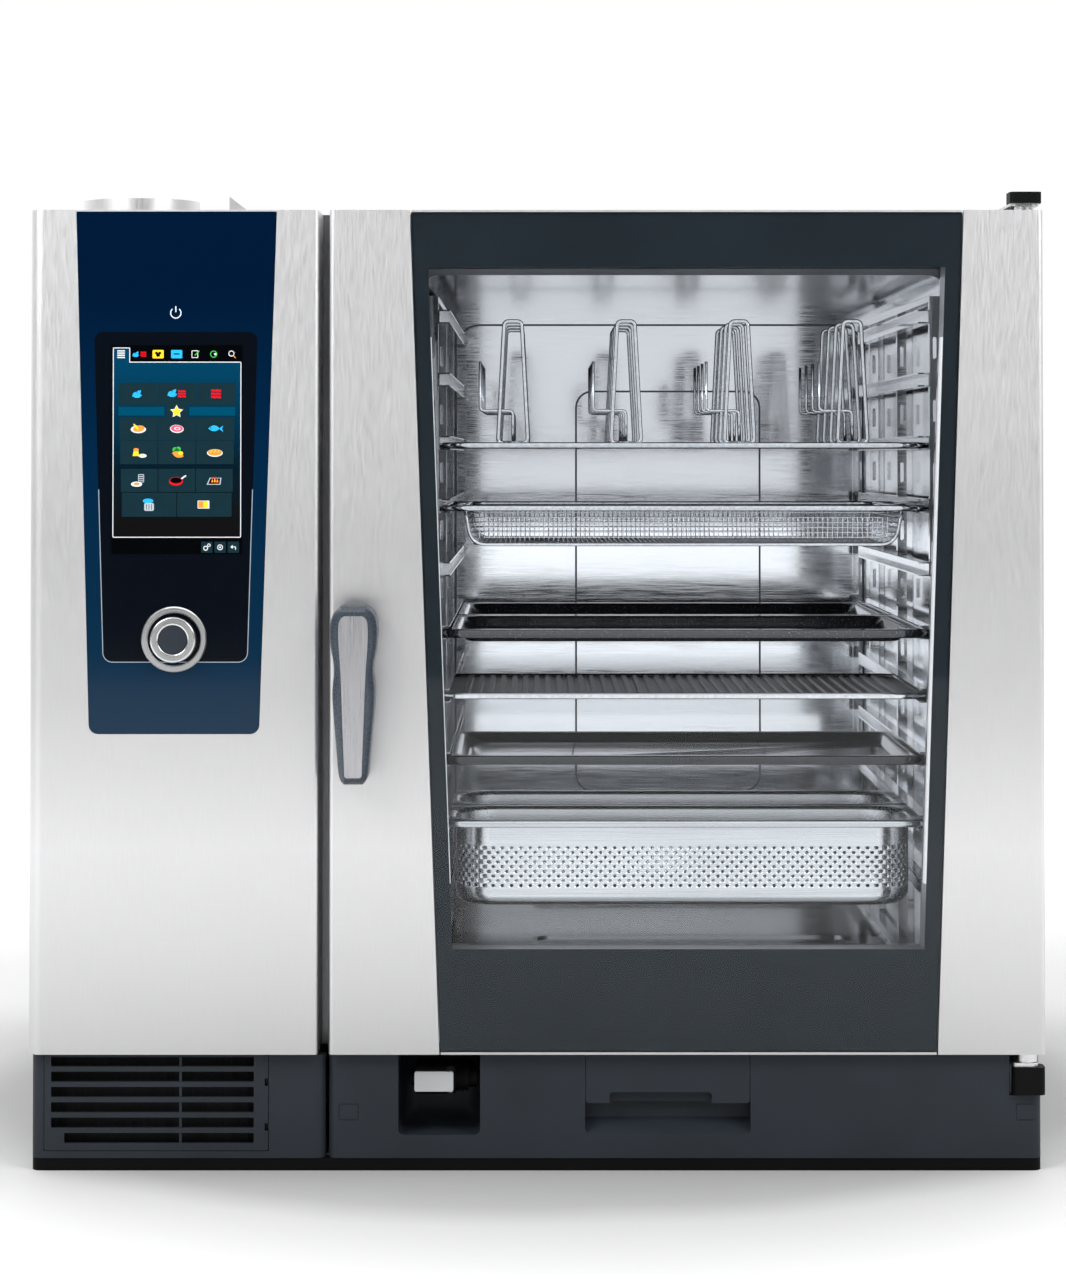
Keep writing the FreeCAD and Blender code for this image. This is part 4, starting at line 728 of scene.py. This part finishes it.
def screen_background():
    """The lit page of the screen: a blue fade at the top that runs to black."""
    look = new_look("screen_page", srgb(0, 60, 95), 0.0, 0.08)
    height = look.spread(look.axis("Z"), 0, 1, SCREEN_Z, SCREEN_Z + SCREEN_H)
    fade = colours((0.16, (11, 11, 12)), (0.42, (2, 22, 33)), (0.66, (0, 42, 64)), (0.92, (0, 55, 83)))
    colour = look.ramp(height, fade)
    look.feed(look.shader, {"Base Color": colour, "Emission Color": colour, "Emission Strength": 0.2})
    return look.owner


def screen_colours():
    glow = 0.3
    lit = (
        ("sky_blue", (40, 165, 225), glow),
        ("red", (196, 22, 34), glow),
        ("yellow", (248, 200, 44), glow),
        ("orange", (228, 138, 60), glow),
        ("green", (60, 165, 70), glow),
        ("white", (206, 210, 212), glow),
        ("pink", (218, 84, 112), glow),
        ("grey", (168, 176, 184), glow),
        ("cell", (19, 42, 50), glow * 0.7),
        ("band", (0, 66, 92), glow * 0.7),
    )
    black = under_glass("screen_black", (3, 4, 6))
    page = screen_background()
    return [black, page] + [under_glass("screen_" + name, colour, light) for name, colour, light in lit]


def raised(shape, outline, lift, colour):
    """A thin plate on the screen; the lift says which of the plates lies in front."""
    shape.prism(outline, FRONT_Y - PROUD * lift, FRONT_Y - PROUD, colour)


def screen_page_and_tab(shape):
    """The page with its first tab, and the white line round both."""
    left, right, top, bottom = 0.012, 0.99, 0.079, 0.921
    tab_right, tab_top = 0.143, 0.011
    line = 0.0009
    raised(shape, screen_rectangle(left, right, top, bottom, 0.0012), 1.3, PAGE)
    raised(shape, screen_rectangle(left, tab_right, tab_top, 0.082, 0.0012), 1.3, PAGE)
    x0, z1 = on_screen(left, top)
    x1, z0 = on_screen(right, bottom)
    inner = rectangle(x0 + line, x1 - line, z0 + line, z1 - line, 0.0008, 3)
    outer = screen_rectangle(left, right, top, bottom, 0.0014)
    shape.frame(outer, inner, FRONT_Y - PROUD * 1.8, FRONT_Y - PROUD, WHITE)
    x0, z1 = on_screen(left, tab_top)
    x1, z0 = on_screen(tab_right, top)
    for bar in ((x0, x0 + line, z0 - line, z1), (x1 - line, x1, z0 - line, z1), (x0, x1, z1 - line, z1)):
        raised(shape, rectangle(*bar, 0.0003, 2), 1.9, WHITE)
    raised(shape, rectangle(x0 + line, x1 - line, z0 - 1.4 * line, z0 + 0.2 * line, 0, 2), 1.95, PAGE)


def screen_cells(shape):
    """The darker cells behind the pictures; gives the middle of each."""
    rows = ((0.180, 0.286, 3), (0.344, 0.455, 3), (0.458, 0.569, 3), (0.592, 0.702, 3), (0.706, 0.821, 2))
    gap = 0.006
    middles = []
    for v0, v1, count in rows:
        edge = 0.083 if count == 2 else 0.056 + 0.045 * (v0 - 0.18)
        step = (1 - 2 * edge + gap) / count
        for column in range(count):
            u0 = edge + column * step
            u1 = u0 + step - gap
            raised(shape, screen_rectangle(u0, u1, v0, v1), 1.55, CELL)
            middles.append(((u0 + u1) / 2, (v0 + v1) / 2))
    for u0, u1 in ((0.056, 0.405), (0.594, 0.943)):
        raised(shape, screen_rectangle(u0, u1, 0.296, 0.337), 1.55, BAND)
    return middles


def display_picture():
    shape = Shape()
    shape.prism(screen_rectangle(0, 1, 0, 1), FRONT_Y - PROUD * 0.9, FRONT_Y + 0.0004, INK)
    screen_page_and_tab(shape)
    middles = screen_cells(shape)
    icons = Icons(shape)
    x, z = on_screen(0.498, 0.318)
    raised(shape, disc(x, z, 0.0115), 1.58, CELL)
    icons.draw(icons.favourite, x, z, 0.0060)
    drawings = [
        icons.steam, icons.steam_and_heat, icons.heat, icons.roast, icons.steak, icons.fish, icons.pudding,
        icons.vegetables, icons.loaf, icons.plates, icons.pan, icons.grill, icons.pot, icons.slices,
    ]
    cell_size = 5.4 * MM
    tab_size = 4.2 * MM
    for (u, v), drawing in zip(middles, drawings):
        icons.draw(drawing, *on_screen(u, v), cell_size)
    tabs = [icons.menu, icons.steam_and_heat_tab, icons.hat, icons.card, icons.note, icons.globe, icons.lens]
    for number, drawing in enumerate(tabs):
        icons.draw(drawing, *on_screen(0.074 + 0.141 * number, 0.043), tab_size)
    buttons = ((icons.gears, MM), (icons.query, MM), (icons.arrow_back, 3.2 * MM))
    for number, (drawing, size) in enumerate(buttons):
        u = 0.73 + 0.101 * number
        raised(shape, screen_rectangle(u - 0.043, u + 0.043, 0.94, 0.993, 0.0008), 1.4, CELL)
        icons.draw(drawing, *on_screen(u, 0.967), size)
    piece = shape.finish("display_picture", "cabinet", screen_colours())


def power_mark():
    """A plain ring with a stroke through its top: the usual on and off sign."""
    shape = Shape()
    x = DIAL.x + 0.0010
    z = DIAL.z + 0.3445
    outer = arc(x, z, 0.0060, 130, 410, 30)
    inner = arc(x, z, 0.0049, 130, 410, 30)
    loop = outer + list(reversed(inner))
    shape.prism(loop, FRONT_Y - PROUD, FRONT_Y + 0.0003, 0)
    stroke = rectangle(x - 0.0006, x + 0.0006, z + 0.0008, z + 0.0072, 0.0002, 2)
    shape.prism(stroke, FRONT_Y - PROUD, FRONT_Y + 0.0003, 0)
    piece = shape.finish("power_mark", "cabinet", [under_glass("power_print", (210, 216, 224), 0.3)])


# ---- door ----------------------------------------------------------------------------------------
def door_outline(inset, top_z, bottom_z):
    """Outline between the slanted sides of the door glass, moved inwards and cut at two heights."""
    low, high = DOOR_GLASS_LOW, DOOR_GLASS_HIGH
    mesh = NODES["door_glass_outer"].data
    bottom_xs = [v.co.x for v in mesh.vertices if abs(v.co.z - low.z) < 0.001]
    left = (min(bottom_xs), low.x)
    right = (max(bottom_xs), high.x)

    def side(pair, z):
        share = (z - low.z) / (high.z - low.z)
        return pair[0] + share * (pair[1] - pair[0])

    return [
        (side(left, bottom_z) + inset, bottom_z),
        (side(right, bottom_z) - inset, bottom_z),
        (side(right, top_z) - inset, top_z),
        (side(left, top_z) + inset, top_z),
    ]


def door_print():
    """The dark border printed on the back of the front pane."""
    shape = Shape()
    window_top = INNER_GLASS_HIGH.z - 0.0031
    window_bottom = INNER_GLASS_LOW.z + 0.0036
    outer = door_outline(0.0004, DOOR_GLASS_HIGH.z - 0.0003, DOOR_GLASS_LOW.z + 0.0003)
    inner = door_outline(0.0168, window_top, window_bottom)
    y = DOOR_GLASS_HIGH.y + 0.0001
    shape.frame(outer, inner, y, y + 0.0004)
    slate = grained("glass_print", (34, 44, 51), (39, 49, 56), 0.4, 300, 0.0)
    piece = shape.finish("door_print", "door", [slate])


# ---- loads on the rails --------------------------------------------------------------------------
class Track:
    """The way round a rounded rectangle, measured along its edge."""

    def __init__(self, x0, x1, y0, y1, radius):
        self.radius = radius
        self.wide = x1 - x0 - 2 * radius
        self.deep = y1 - y0 - 2 * radius
        self.centre = ((x0 + x1) / 2, (y0 + y1) / 2)
        self.bend = math.pi * radius / 2
        self.length = 2 * (self.wide + self.deep) + 4 * self.bend

    def at(self, along):
        """Place and outward direction at a distance along the edge, from the front left corner on."""
        along %= self.length
        legs = (
            (self.wide, (-0.5, -0.5), (1, 0)),
            (self.deep, (0.5, -0.5), (0, 1)),
            (self.wide, (0.5, 0.5), (-1, 0)),
            (self.deep, (-0.5, 0.5), (0, -1)),
        )
        for length, start, run in legs:
            out = (run[1], -run[0])
            x = self.centre[0] + start[0] * self.wide
            y = self.centre[1] + start[1] * self.deep
            if along <= length:
                x += run[0] * along + out[0] * self.radius
                y += run[1] * along + out[1] * self.radius
                return x, y, out[0], out[1]
            along -= length
            if along <= self.bend:
                turn = along / self.radius
                nx = out[0] * math.cos(turn) + run[0] * math.sin(turn)
                ny = out[1] * math.cos(turn) + run[1] * math.sin(turn)
                x += run[0] * length + nx * self.radius
                y += run[1] * length + ny * self.radius
                return x, y, nx, ny
            along -= self.bend
        return self.at(0)

    def outside(self, x, y):
        """How far a place lies outside the edge; less than zero inside it."""
        dx = abs(x - self.centre[0]) - self.wide / 2
        dy = abs(y - self.centre[1]) - self.deep / 2
        return math.hypot(max(dx, 0), max(dy, 0)) + min(max(dx, dy), 0) - self.radius

    def ring(self, z, count):
        return [(*self.at(self.length * i / count)[:2], z) for i in range(count)]


def track_in(low, high, inset, radius):
    """The track round a box seen from above, moved inwards."""
    return Track(low.x + inset, high.x - inset, low.y + inset, high.y - inset, radius)


def perforated_container(name, node):
    """Deep-drawn container with nine staggered rows of round holes in its walls."""
    low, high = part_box(node)
    wall = Track(low.x + 0.016, high.x - 0.016, low.y + 0.014, high.y - 0.014, 0.046)
    edge = track_in(low, high, 0.0004, 0.014)
    rim_z = high.z - 0.0004
    floor_z = high.z - 0.0936
    fold = 0.014
    half = wall.length / (2 * round(wall.length / 0.0102))
    count = round(wall.length / half)
    lip = 0.004
    rows = 9
    row_h = 0.0051
    first_z = high.z - 0.0740
    hole = 0.00185
    hole_sides = 8
    mesh = bmesh.new()
    known = {}

    def point(i, z, inward=0.0):
        key = (i % count, round(z, 6), round(inward, 6))
        if key not in known:
            x, y, nx, ny = wall.at(i * half)
            known[key] = mesh.verts.new((x - nx * inward, y - ny * inward, z))
        return known[key]

    def strip(z0, z1, in0=0.0, in1=0.0):
        for i in range(count):
            low_side = (point(i, z0, in0), point(i + 1, z0, in0))
            mesh.faces.new(low_side + (point(i + 1, z1, in1), point(i, z1, in1)))

    for row in range(rows):
        z0 = first_z + row_h * row
        z1 = z0 + row_h
        mid_z = (z0 + z1) / 2
        for cell in range(0, count, 2):
            i = cell + row % 2
            border = [
                point(i, z0), point(i + 1, z0), point(i + 2, z0), point(i + 2, mid_z),
                point(i + 2, z1), point(i + 1, z1), point(i, z1), point(i, mid_z),
            ]
            round_hole = []
            for k in range(hole_sides):
                angle = math.radians(225 + 360 * k / hole_sides)
                x, y, nx, ny = wall.at((i + 1) * half + hole * math.cos(angle))
                round_hole.append(mesh.verts.new((x, y, mid_z + hole * math.sin(angle))))
            for k in range(hole_sides):
                m = (k + 1) % hole_sides
                mesh.faces.new((border[k], border[m], round_hole[m], round_hole[k]))
    strip(first_z + rows * row_h, rim_z - lip)
    strip(floor_z + fold, first_z)
    turns = [math.radians(90 * k / 5) for k in range(6)]
    levels = [(floor_z + fold - fold * math.sin(a), fold * (1 - math.cos(a))) for a in turns]
    for (z1, in1), (z0, in0) in zip(levels, levels[1:]):
        strip(z0, z1, in0, in1)
    mesh.faces.new([point(i, *levels[-1]) for i in range(count)])

    def rim_point(i, inset, z):
        x, y, nx, ny = wall.at(i * half)
        reach = 0.0
        while edge.outside(x + nx * reach, y + ny * reach) < -inset - 1e-6:
            reach += -inset - edge.outside(x + nx * reach, y + ny * reach)
        return mesh.verts.new((x + nx * reach, y + ny * reach, z))

    rings = [[point(i, rim_z - lip) for i in range(count)]]
    for a in (math.radians(30), math.radians(60), math.radians(90)):
        out = -lip * (1 - math.cos(a))
        rings.append([point(i, rim_z - lip + lip * math.sin(a), out) for i in range(count)])
    for inset, drop in ((0.0014, 0.0), (0.0003, 0.0006), (0.0, 0.0018), (0.0, 0.0066)):
        rings.append([rim_point(i, inset, rim_z - drop) for i in range(count)])
    for inner, outer in zip(rings, rings[1:]):
        for i in range(count):
            m = (i + 1) % count
            mesh.faces.new((inner[i], inner[m], outer[m], outer[i]))
    bmesh.ops.recalc_face_normals(mesh, faces=mesh.faces)
    data = bpy.data.meshes.new(name)
    mesh.to_mesh(data)
    mesh.free()
    data.materials.append(CONTAINER)
    data.polygons.foreach_set("use_smooth", [True] * len(data.polygons))
    piece = bpy.data.objects.new(name, data)
    bpy.context.collection.objects.link(piece)
    sheet = piece.modifiers.new("sheet", "SOLIDIFY")
    sheet.thickness = 0.0008
    sheet.offset = 0
    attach(piece, "cabinet")
    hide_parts(node)


def bent_path(points, radius, steps=4):
    """A path through points whose corners are rounded."""
    points = [Vector(p) for p in points]
    out = [points[0]]
    for before, here, after in zip(points, points[1:], points[2:]):
        a = (before - here).normalized()
        b = (after - here).normalized()
        half = a.angle(b) / 2
        reach = min(radius / math.tan(half), 0.45 * (before - here).length, 0.45 * (after - here).length)
        start = here + a * reach
        end = here + b * reach
        for k in range(steps + 1):
            s = k / steps
            out.append(start * (1 - s) ** 2 + here * 2 * s * (1 - s) + end * s * s)
    out.append(points[-1])
    return out


def wire_basket():
    """Basket of woven wire: two sets of wires bent up into the walls, hoops round them, thick frame."""
    low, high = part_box("fry_basket")
    x0, x1 = low.x + 0.026, high.x - 0.026
    y0, y1 = low.y + 0.011, high.y - 0.011
    top = high.z - 0.0034
    floor_z = low.z + 0.0012
    lean = 0.007
    bend = 0.016
    fine = 0.00058
    pitch = 0.0054
    shape = Shape()
    count = round((y1 - y0 - 2 * bend) / pitch)
    for i in range(count + 1):
        y = y0 + bend + (y1 - y0 - 2 * bend) * i / count
        path = [(x0, y, top), (x0 + lean, y, floor_z), (x1 - lean, y, floor_z), (x1, y, top)]
        shape.sweep(bent_path(path, bend), fine, 4)
    count = round((x1 - x0 - 2 * bend) / pitch)
    for i in range(count + 1):
        x = x0 + bend + (x1 - x0 - 2 * bend) * i / count
        path = [(x, y0, top), (x, y0 + lean, floor_z + fine), (x, y1 - lean, floor_z + fine), (x, y1, top)]
        shape.sweep(bent_path(path, bend), fine, 4)
    hoops = 6
    for i in range(1, hoops + 1):
        z = top - i * pitch
        inset = lean * i * pitch / (top - floor_z) + fine
        hoop = Track(x0 + inset, x1 - inset, y0 + inset, y1 - inset, bend)
        shape.sweep(hoop.ring(z, 72), fine, 4, closed=True)
    for inset, z, thick in ((0.0, top, 0.0023), (lean + 0.003, floor_z + 0.0008, 0.0016)):
        hoop = Track(x0 + inset, x1 - inset, y0 + inset, y1 - inset, bend)
        shape.sweep(hoop.ring(z, 96), thick, 8, closed=True)
    outer = track_in(low, high, 0.0036, 0.012)
    shape.sweep(outer.ring(high.z - 0.0040, 96), 0.0033, 8, closed=True)
    for y, foot_y in ((y0, y0 + lean), (y1, y1 - lean)):
        path = [(x0, y, top), (x0 + lean, foot_y, floor_z), (x1 - lean, foot_y, floor_z), (x1, y, top)]
        shape.sweep(bent_path(path, 0.02, 8), 0.0019, 8)
    for k in range(3):
        y = y0 + (y1 - y0) * (0.1 + 0.4 * k)
        shape.sweep([(low.x + 0.003, y, high.z - 0.004), (x0, y, top)], 0.0020, 8)
        shape.sweep([(high.x - 0.003, y, high.z - 0.004), (x1, y, top)], 0.0020, 8)
    piece = shape.finish("wire_basket", "cabinet", [POLISHED], smooth=True)
    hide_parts("fry_basket")


def spike_rack():
    """Wire loops that potatoes are pushed on, with a cranked wire beside each, on a wire frame."""
    low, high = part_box("spike_grid")
    rail_z = low.z + 0.0033
    shape = Shape()
    outer = track_in(low, high, 0.0033, 0.01)
    shape.sweep(outer.ring(rail_z, 96), 0.0033, 8, closed=True)
    top = high.z - 0.0024
    rows = 4
    step_y = 0.086
    centre_x = (low.x + high.x) / 2
    for row in range(rows):
        y = low.y + 0.034 + step_y * row
        shape.sweep([(low.x + 0.003, y, rail_z), (high.x - 0.003, y, rail_z)], 0.0024, 8)
        for column in range(4):
            x = centre_x + 0.124 * (column - 1.5)
            loop = [
                (x + 0.011, y - 0.003, rail_z + 0.0025), (x - 0.0165, y - 0.003, rail_z + 0.0025),
                (x - 0.0095, y, top), (x + 0.0095, y, top),
                (x + 0.0165, y - 0.003, rail_z + 0.0025), (x - 0.011, y - 0.003, rail_z + 0.0028),
            ]
            shape.sweep(bent_path(loop, 0.0055, 5), 0.0023, 8)
            steps = ((0, 0), (0, 0.038), (-0.036, 0.038), (-0.036, 0.092))
            crank = [(x + across, y + 0.003, rail_z + up) for across, up in steps]
            shape.sweep(bent_path(crank, 0.005, 4), 0.0017, 8)
    piece = shape.finish("spike_rack", "cabinet", [POLISHED], smooth=True)
    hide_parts("spike_grid")


def enamel_pan(name, node, depth):
    """Shallow pan with slanted walls and a flat rim turned down and bevelled at the corners."""
    low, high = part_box(node)
    top = high.z - 0.0002
    floor_z = high.z - depth
    levels = (
        (0.0000, top - 0.0085, 0.010), (0.0000, top - 0.0022, 0.010), (0.0007, top - 0.0006, 0.010),
        (0.0022, top, 0.010), (0.0170, top, 0.014), (0.0190, top - 0.0006, 0.015),
        (0.0204, top - 0.0026, 0.016), (0.0262, floor_z + 0.0024, 0.016),
        (0.0275, floor_z + 0.0006, 0.016), (0.0300, floor_z, 0.016),
    )
    count = 120
    shape = Shape()
    shape.skin([track_in(low, high, inset, radius).ring(z, count) for inset, z, radius in levels], False)
    piece = shape.finish(name, "cabinet", [ENAMEL], smooth=True)
    piece.data.set_sharp_from_angle(angle=math.radians(40))
    sheet = piece.modifiers.new("sheet", "SOLIDIFY")
    sheet.thickness = 0.0010
    sheet.offset = 0
    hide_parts(node)


def filter_mat():
    """Fibre mat behind the intake grille."""
    low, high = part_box("air_filter")
    shape = Shape()
    back = high.y - 0.0050
    folds = 26
    step = (high.x - low.x - 0.010) / folds
    outline = []
    for i in range(folds + 1):
        outline.append((low.x + 0.005 + step * i, back - 0.0062 + 0.0022 * (i % 2)))
    outline += [(high.x - 0.005, back), (low.x + 0.005, back)]
    shape.slab(outline, low.z + 0.005, high.z - 0.005)
    piece = shape.finish("filter_mat", "air_filter", [FIBRE])


def grill_rack():
    """Ribbed grill plate inside a round polished rim."""
    low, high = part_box("grill_tray")
    shape = Shape()
    z_mid = (low.z + high.z) / 2
    thick = 0.0033
    rim = track_in(low, high, thick, 0.012)
    shape.sweep(rim.ring(z_mid + 0.001, 96), thick, 10, closed=True, paint=1)
    edge = 0.005
    plate = rectangle(low.x + edge, high.x - edge, low.y + edge, high.y - edge, 0.009)
    shape.slab(plate, z_mid - 0.0018, z_mid)
    pitch = 0.0128
    ribs = int((high.x - low.x - 0.03) / pitch)
    start = (low.x + high.x) / 2 - pitch * (ribs - 1) / 2
    for i in range(ribs):
        x = start + pitch * i
        shape.prism([(x - 0.0042, z_mid - 0.0004), (x + 0.0042, z_mid - 0.0004),
                     (x + 0.0024, z_mid + 0.0028), (x - 0.0024, z_mid + 0.0028)],
                    low.y + 0.009, high.y - 0.009, 0)
    piece = shape.finish("grill_rack", "cabinet", [GRILL, POLISHED])
    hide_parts("grill_tray")


# Raised panels of the back wall: left, right, low and high edge, corner radius.
BACK_PANELS = ((0.052, 0.290, 0.318, 0.837, 0.020), (-0.105, 0.425, 0.175, 0.924, 0.030))


def back_wall_shadow_lines():
    """Painted shadow: dark edges round the raised panels of the back wall."""
    shape = Shape()
    line = 0.0022
    bite = 0.0002
    for x0, x1, z0, z1, radius in BACK_PANELS:
        outer = rectangle(x0 - line, x1 + line, z0 - line, z1 + line, radius + line)
        inner = rectangle(x0 + bite, x1 - bite, z0 + bite, z1 - bite, radius)
        shape.frame(outer, inner, BACK_WALL_Y - 0.0045, BACK_WALL_Y - bite)
    edge = brushed("edge_shadow_steel", (74, 76, 80), (92, 94, 98), 0.35)
    piece = shape.finish("back_wall_shadow_lines", "cabinet", [edge])


# ---- door handle ---------------------------------------------------------------------------------
GRIP_WIDTHS = (
    (27.6, 13.0), (25.4, 17.2), (22.0, 20.4), (13.0, 24.0), (0.0, 25.1), (-16.0, 23.8), (-32.0, 20.6),
    (-43.0, 19.7), (-52.0, 21.6), (-60.0, 22.3), (-72.0, 21.9), (-152.0, 15.2), (-156.4, 13.2), (-158.0, 9.6),
)


def grip_outline(inset):
    """Outline of the grip round its turning axis, moved inwards."""
    right = [(half * MM, up * MM) for up, half in GRIP_WIDTHS]
    dense = []
    for (xa, za), (xb, zb) in zip(right, right[1:]):
        stretches = max(1, round(math.hypot(xb - xa, zb - za) / 0.006))
        for k in range(stretches):
            s = k / stretches
            dense.append((xa + (xb - xa) * s, za + (zb - za) * s))
    dense.append(right[-1])
    for _ in range(2):
        kept = dense[0], dense[-1]
        threes = zip(dense, dense[1:], dense[2:])
        dense = [((a[0] + 2 * b[0] + c[0]) / 4, (a[1] + 2 * b[1] + c[1]) / 4) for a, b, c in threes]
        dense = [kept[0]] + dense + [kept[1]]
    loop = dense + [(-x, z) for x, z in reversed(dense)]
    out = []
    count = len(loop)
    for i, (x, z) in enumerate(loop):
        before = Vector(loop[i - 1])
        after = Vector(loop[(i + 1) % count])
        run = (after - before).normalized()
        out.append((x - inset * -run.y, z - inset * run.x))
    return out


def handle_grip():
    """Waisted grip with a chamfered front edge and a sunk face for the metal insert."""
    low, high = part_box("handle_grip")
    centre_x = (low.x + high.x) / 2
    axis_z = high.z - GRIP_WIDTHS[0][0] * MM
    levels = (
        (0.0035, high.y), (0.0010, high.y - 0.002), (0.0, high.y - 0.006), (0.0, low.y + 0.0085),
        (0.0012, low.y + 0.0060), (0.0048, low.y + 0.0014), (0.0060, low.y + 0.0002),
        (0.0076, low.y + 0.0001),
    )
    shape = Shape()
    shape.skin([[(centre_x + x, y, axis_z + z) for x, z in grip_outline(inset)] for inset, y in levels], True)
    piece = shape.finish("grip_shell", "handle", [GRIP], smooth=True)
    piece.data.set_sharp_from_angle(angle=math.radians(32))
    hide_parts("handle_grip")


# ---- stage ---------------------------------------------------------------------------------------
def place_camera():
    """Camera in front of the oven, tipped up a little; the shift brings the whole oven into the frame."""
    data = bpy.data.cameras.new("camera")
    data.sensor_width = 36
    data.lens = 90.6
    data.shift_x = -0.0047
    data.shift_y = -0.198
    camera = bpy.data.objects.new("camera", data)
    camera.location = (0.0026, FRONT_Y - 3.4, 0.7537)
    camera.rotation_euler = (math.radians(91.24), 0, 0)
    bpy.context.collection.objects.link(camera)
    bpy.context.scene.camera = camera


def area_light(name, place, aim, size, power):
    data = bpy.data.lights.new(name, "AREA")
    data.shape = "RECTANGLE"
    data.size = size[0]
    data.size_y = size[1]
    data.energy = power
    lamp = bpy.data.objects.new(name, data)
    lamp.location = place
    lamp.rotation_euler = (Vector(aim) - Vector(place)).to_track_quat("-Z", "Y").to_euler()
    bpy.context.collection.objects.link(lamp)


def build_world():
    """White behind the oven, greyer at the sides, dark in front so that glass keeps its colour."""
    world = bpy.data.worlds.new("studio")
    bpy.context.scene.world = world
    look = Look(world, "Background")
    where = look.node("TexCoord").outputs["Generated"]
    split = look.node("SeparateXYZ", {"Vector": where})
    from_front = look.spread(split.outputs["Y"], 0, 1, -1, 1)
    across = look.ramp(from_front, greys(((0.0, 0.03), (0.01, 0.04), (0.06, 0.32), (0.5, 0.42), (0.85, 1.0))))
    above = look.ramp(split.outputs["Z"], greys(((0.25, 0), (0.7, 0.9))))
    look.feed(look.shader, {"Color": look.blend("LIGHTEN", across, above), "Strength": 1.02})


# Powers of the lamps that fill the cavity's mouth, from low to high.
CAVITY_POWERS = (0.09, 0.17, 0.14, 0.24, 0.27, 0.18, 0.17, 0.17)
# Painted shadow on the floor: grey levels at distances from the oven's middle, darker close to it, and how
# far they reach.
FLOOR_FADE = 4.0
FLOOR_SHADOW_TONES = ((0.55, 0.40), (0.62, 0.43), (0.70, 0.60), (0.95, 0.75), (1.6, 0.82))


def build_stage():
    floor_mesh = bpy.data.meshes.new("floor")
    floor_mesh.from_pydata([(-8, -8, 0), (8, -8, 0), (8, 8, 0), (-8, 8, 0)], [], [(0, 1, 2, 3)])
    floor = bpy.data.objects.new("floor", floor_mesh)
    bpy.context.collection.objects.link(floor)
    floor_shadow_look = new_look("floor_painted_shadow", srgb(228, 228, 228), 0.0, 0.7)
    reach = floor_shadow_look.node("VectorMath", {0: floor_shadow_look.here()}, operation="LENGTH").outputs["Value"]
    wobble = floor_shadow_look.spread(floor_shadow_look.noise(3.0), -0.01, 0.01)
    uneven = floor_shadow_look.node("Math", {0: reach, 1: wobble}).outputs["Value"]
    distance = floor_shadow_look.spread(uneven, 0, 1, 0, FLOOR_FADE)
    tones = greys([(far / FLOOR_FADE, level) for far, level in FLOOR_SHADOW_TONES])
    # Painted contact shadow: the floor is darker near the oven; further out it also glows, up to 0.45, so
    # that it runs to white.
    floor_shadow_look.feed(floor_shadow_look.shader, {
        "Base Color": floor_shadow_look.ramp(distance, tones),
        "Emission Color": floor_shadow_look.ramp(distance, greys(((0.3, 0), (0.8, 0.45)))),
        "Emission Strength": 1.0,
    })
    floor.data.materials.append(floor_shadow_look.owner)
    build_world()
    aim = (0, FRONT_Y, 0.75)
    area_light("key", (-2.4, -2.8, 3.0), aim, (2.2, 2.0), 100)
    area_light("fill", (2.6, -2.8, 2.8), aim, (2.0, 2.0), 74)
    area_light("top", (0, 0.2, 3.4), (0, 0.2, 0), (3.4, 3.0), 40)
    inside_low, inside_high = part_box("cavity_liner")
    fan_space = 0.17
    width = inside_high.x - inside_low.x - fan_space
    mid_x = (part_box("rack_left")[0].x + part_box("rack_right")[1].x) / 2
    front_y = inside_low.y + 0.003
    tall = (inside_high.z - inside_low.z) / len(CAVITY_POWERS)
    for step, power in enumerate(CAVITY_POWERS):
        z = inside_low.z + tall * (step + 0.5)
        area_light("cavity_%d" % step, (mid_x, front_y, z), (mid_x, 1.0, z), (width, tall), power)
    pan_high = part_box("container_rear")[1]
    low_place = (mid_x, pan_high.y + 0.02, pan_high.z - 0.008)
    area_light("cavity_behind_pans", low_place, (mid_x, 1.0, low_place[2]), (width, 0.07), 0.12)
    bpy.context.scene.view_settings.view_transform = "Standard"


def main():
    place_camera()
    build_stage()
    dress_nodes()
    control_field()
    display_picture()
    power_mark()
    door_print()
    perforated_container("container_pan_front", "container_front")
    perforated_container("container_pan_rear", "container_rear")
    enamel_pan("pan_upper", "enamel_tray_upper", 0.0135)
    enamel_pan("pan_rear", "enamel_tray_rear", 0.0135)
    enamel_pan("pan_lower", "enamel_tray_lower", 0.0100)
    filter_mat()
    wire_basket()
    spike_rack()
    grill_rack()
    back_wall_shadow_lines()
    handle_grip()


main()
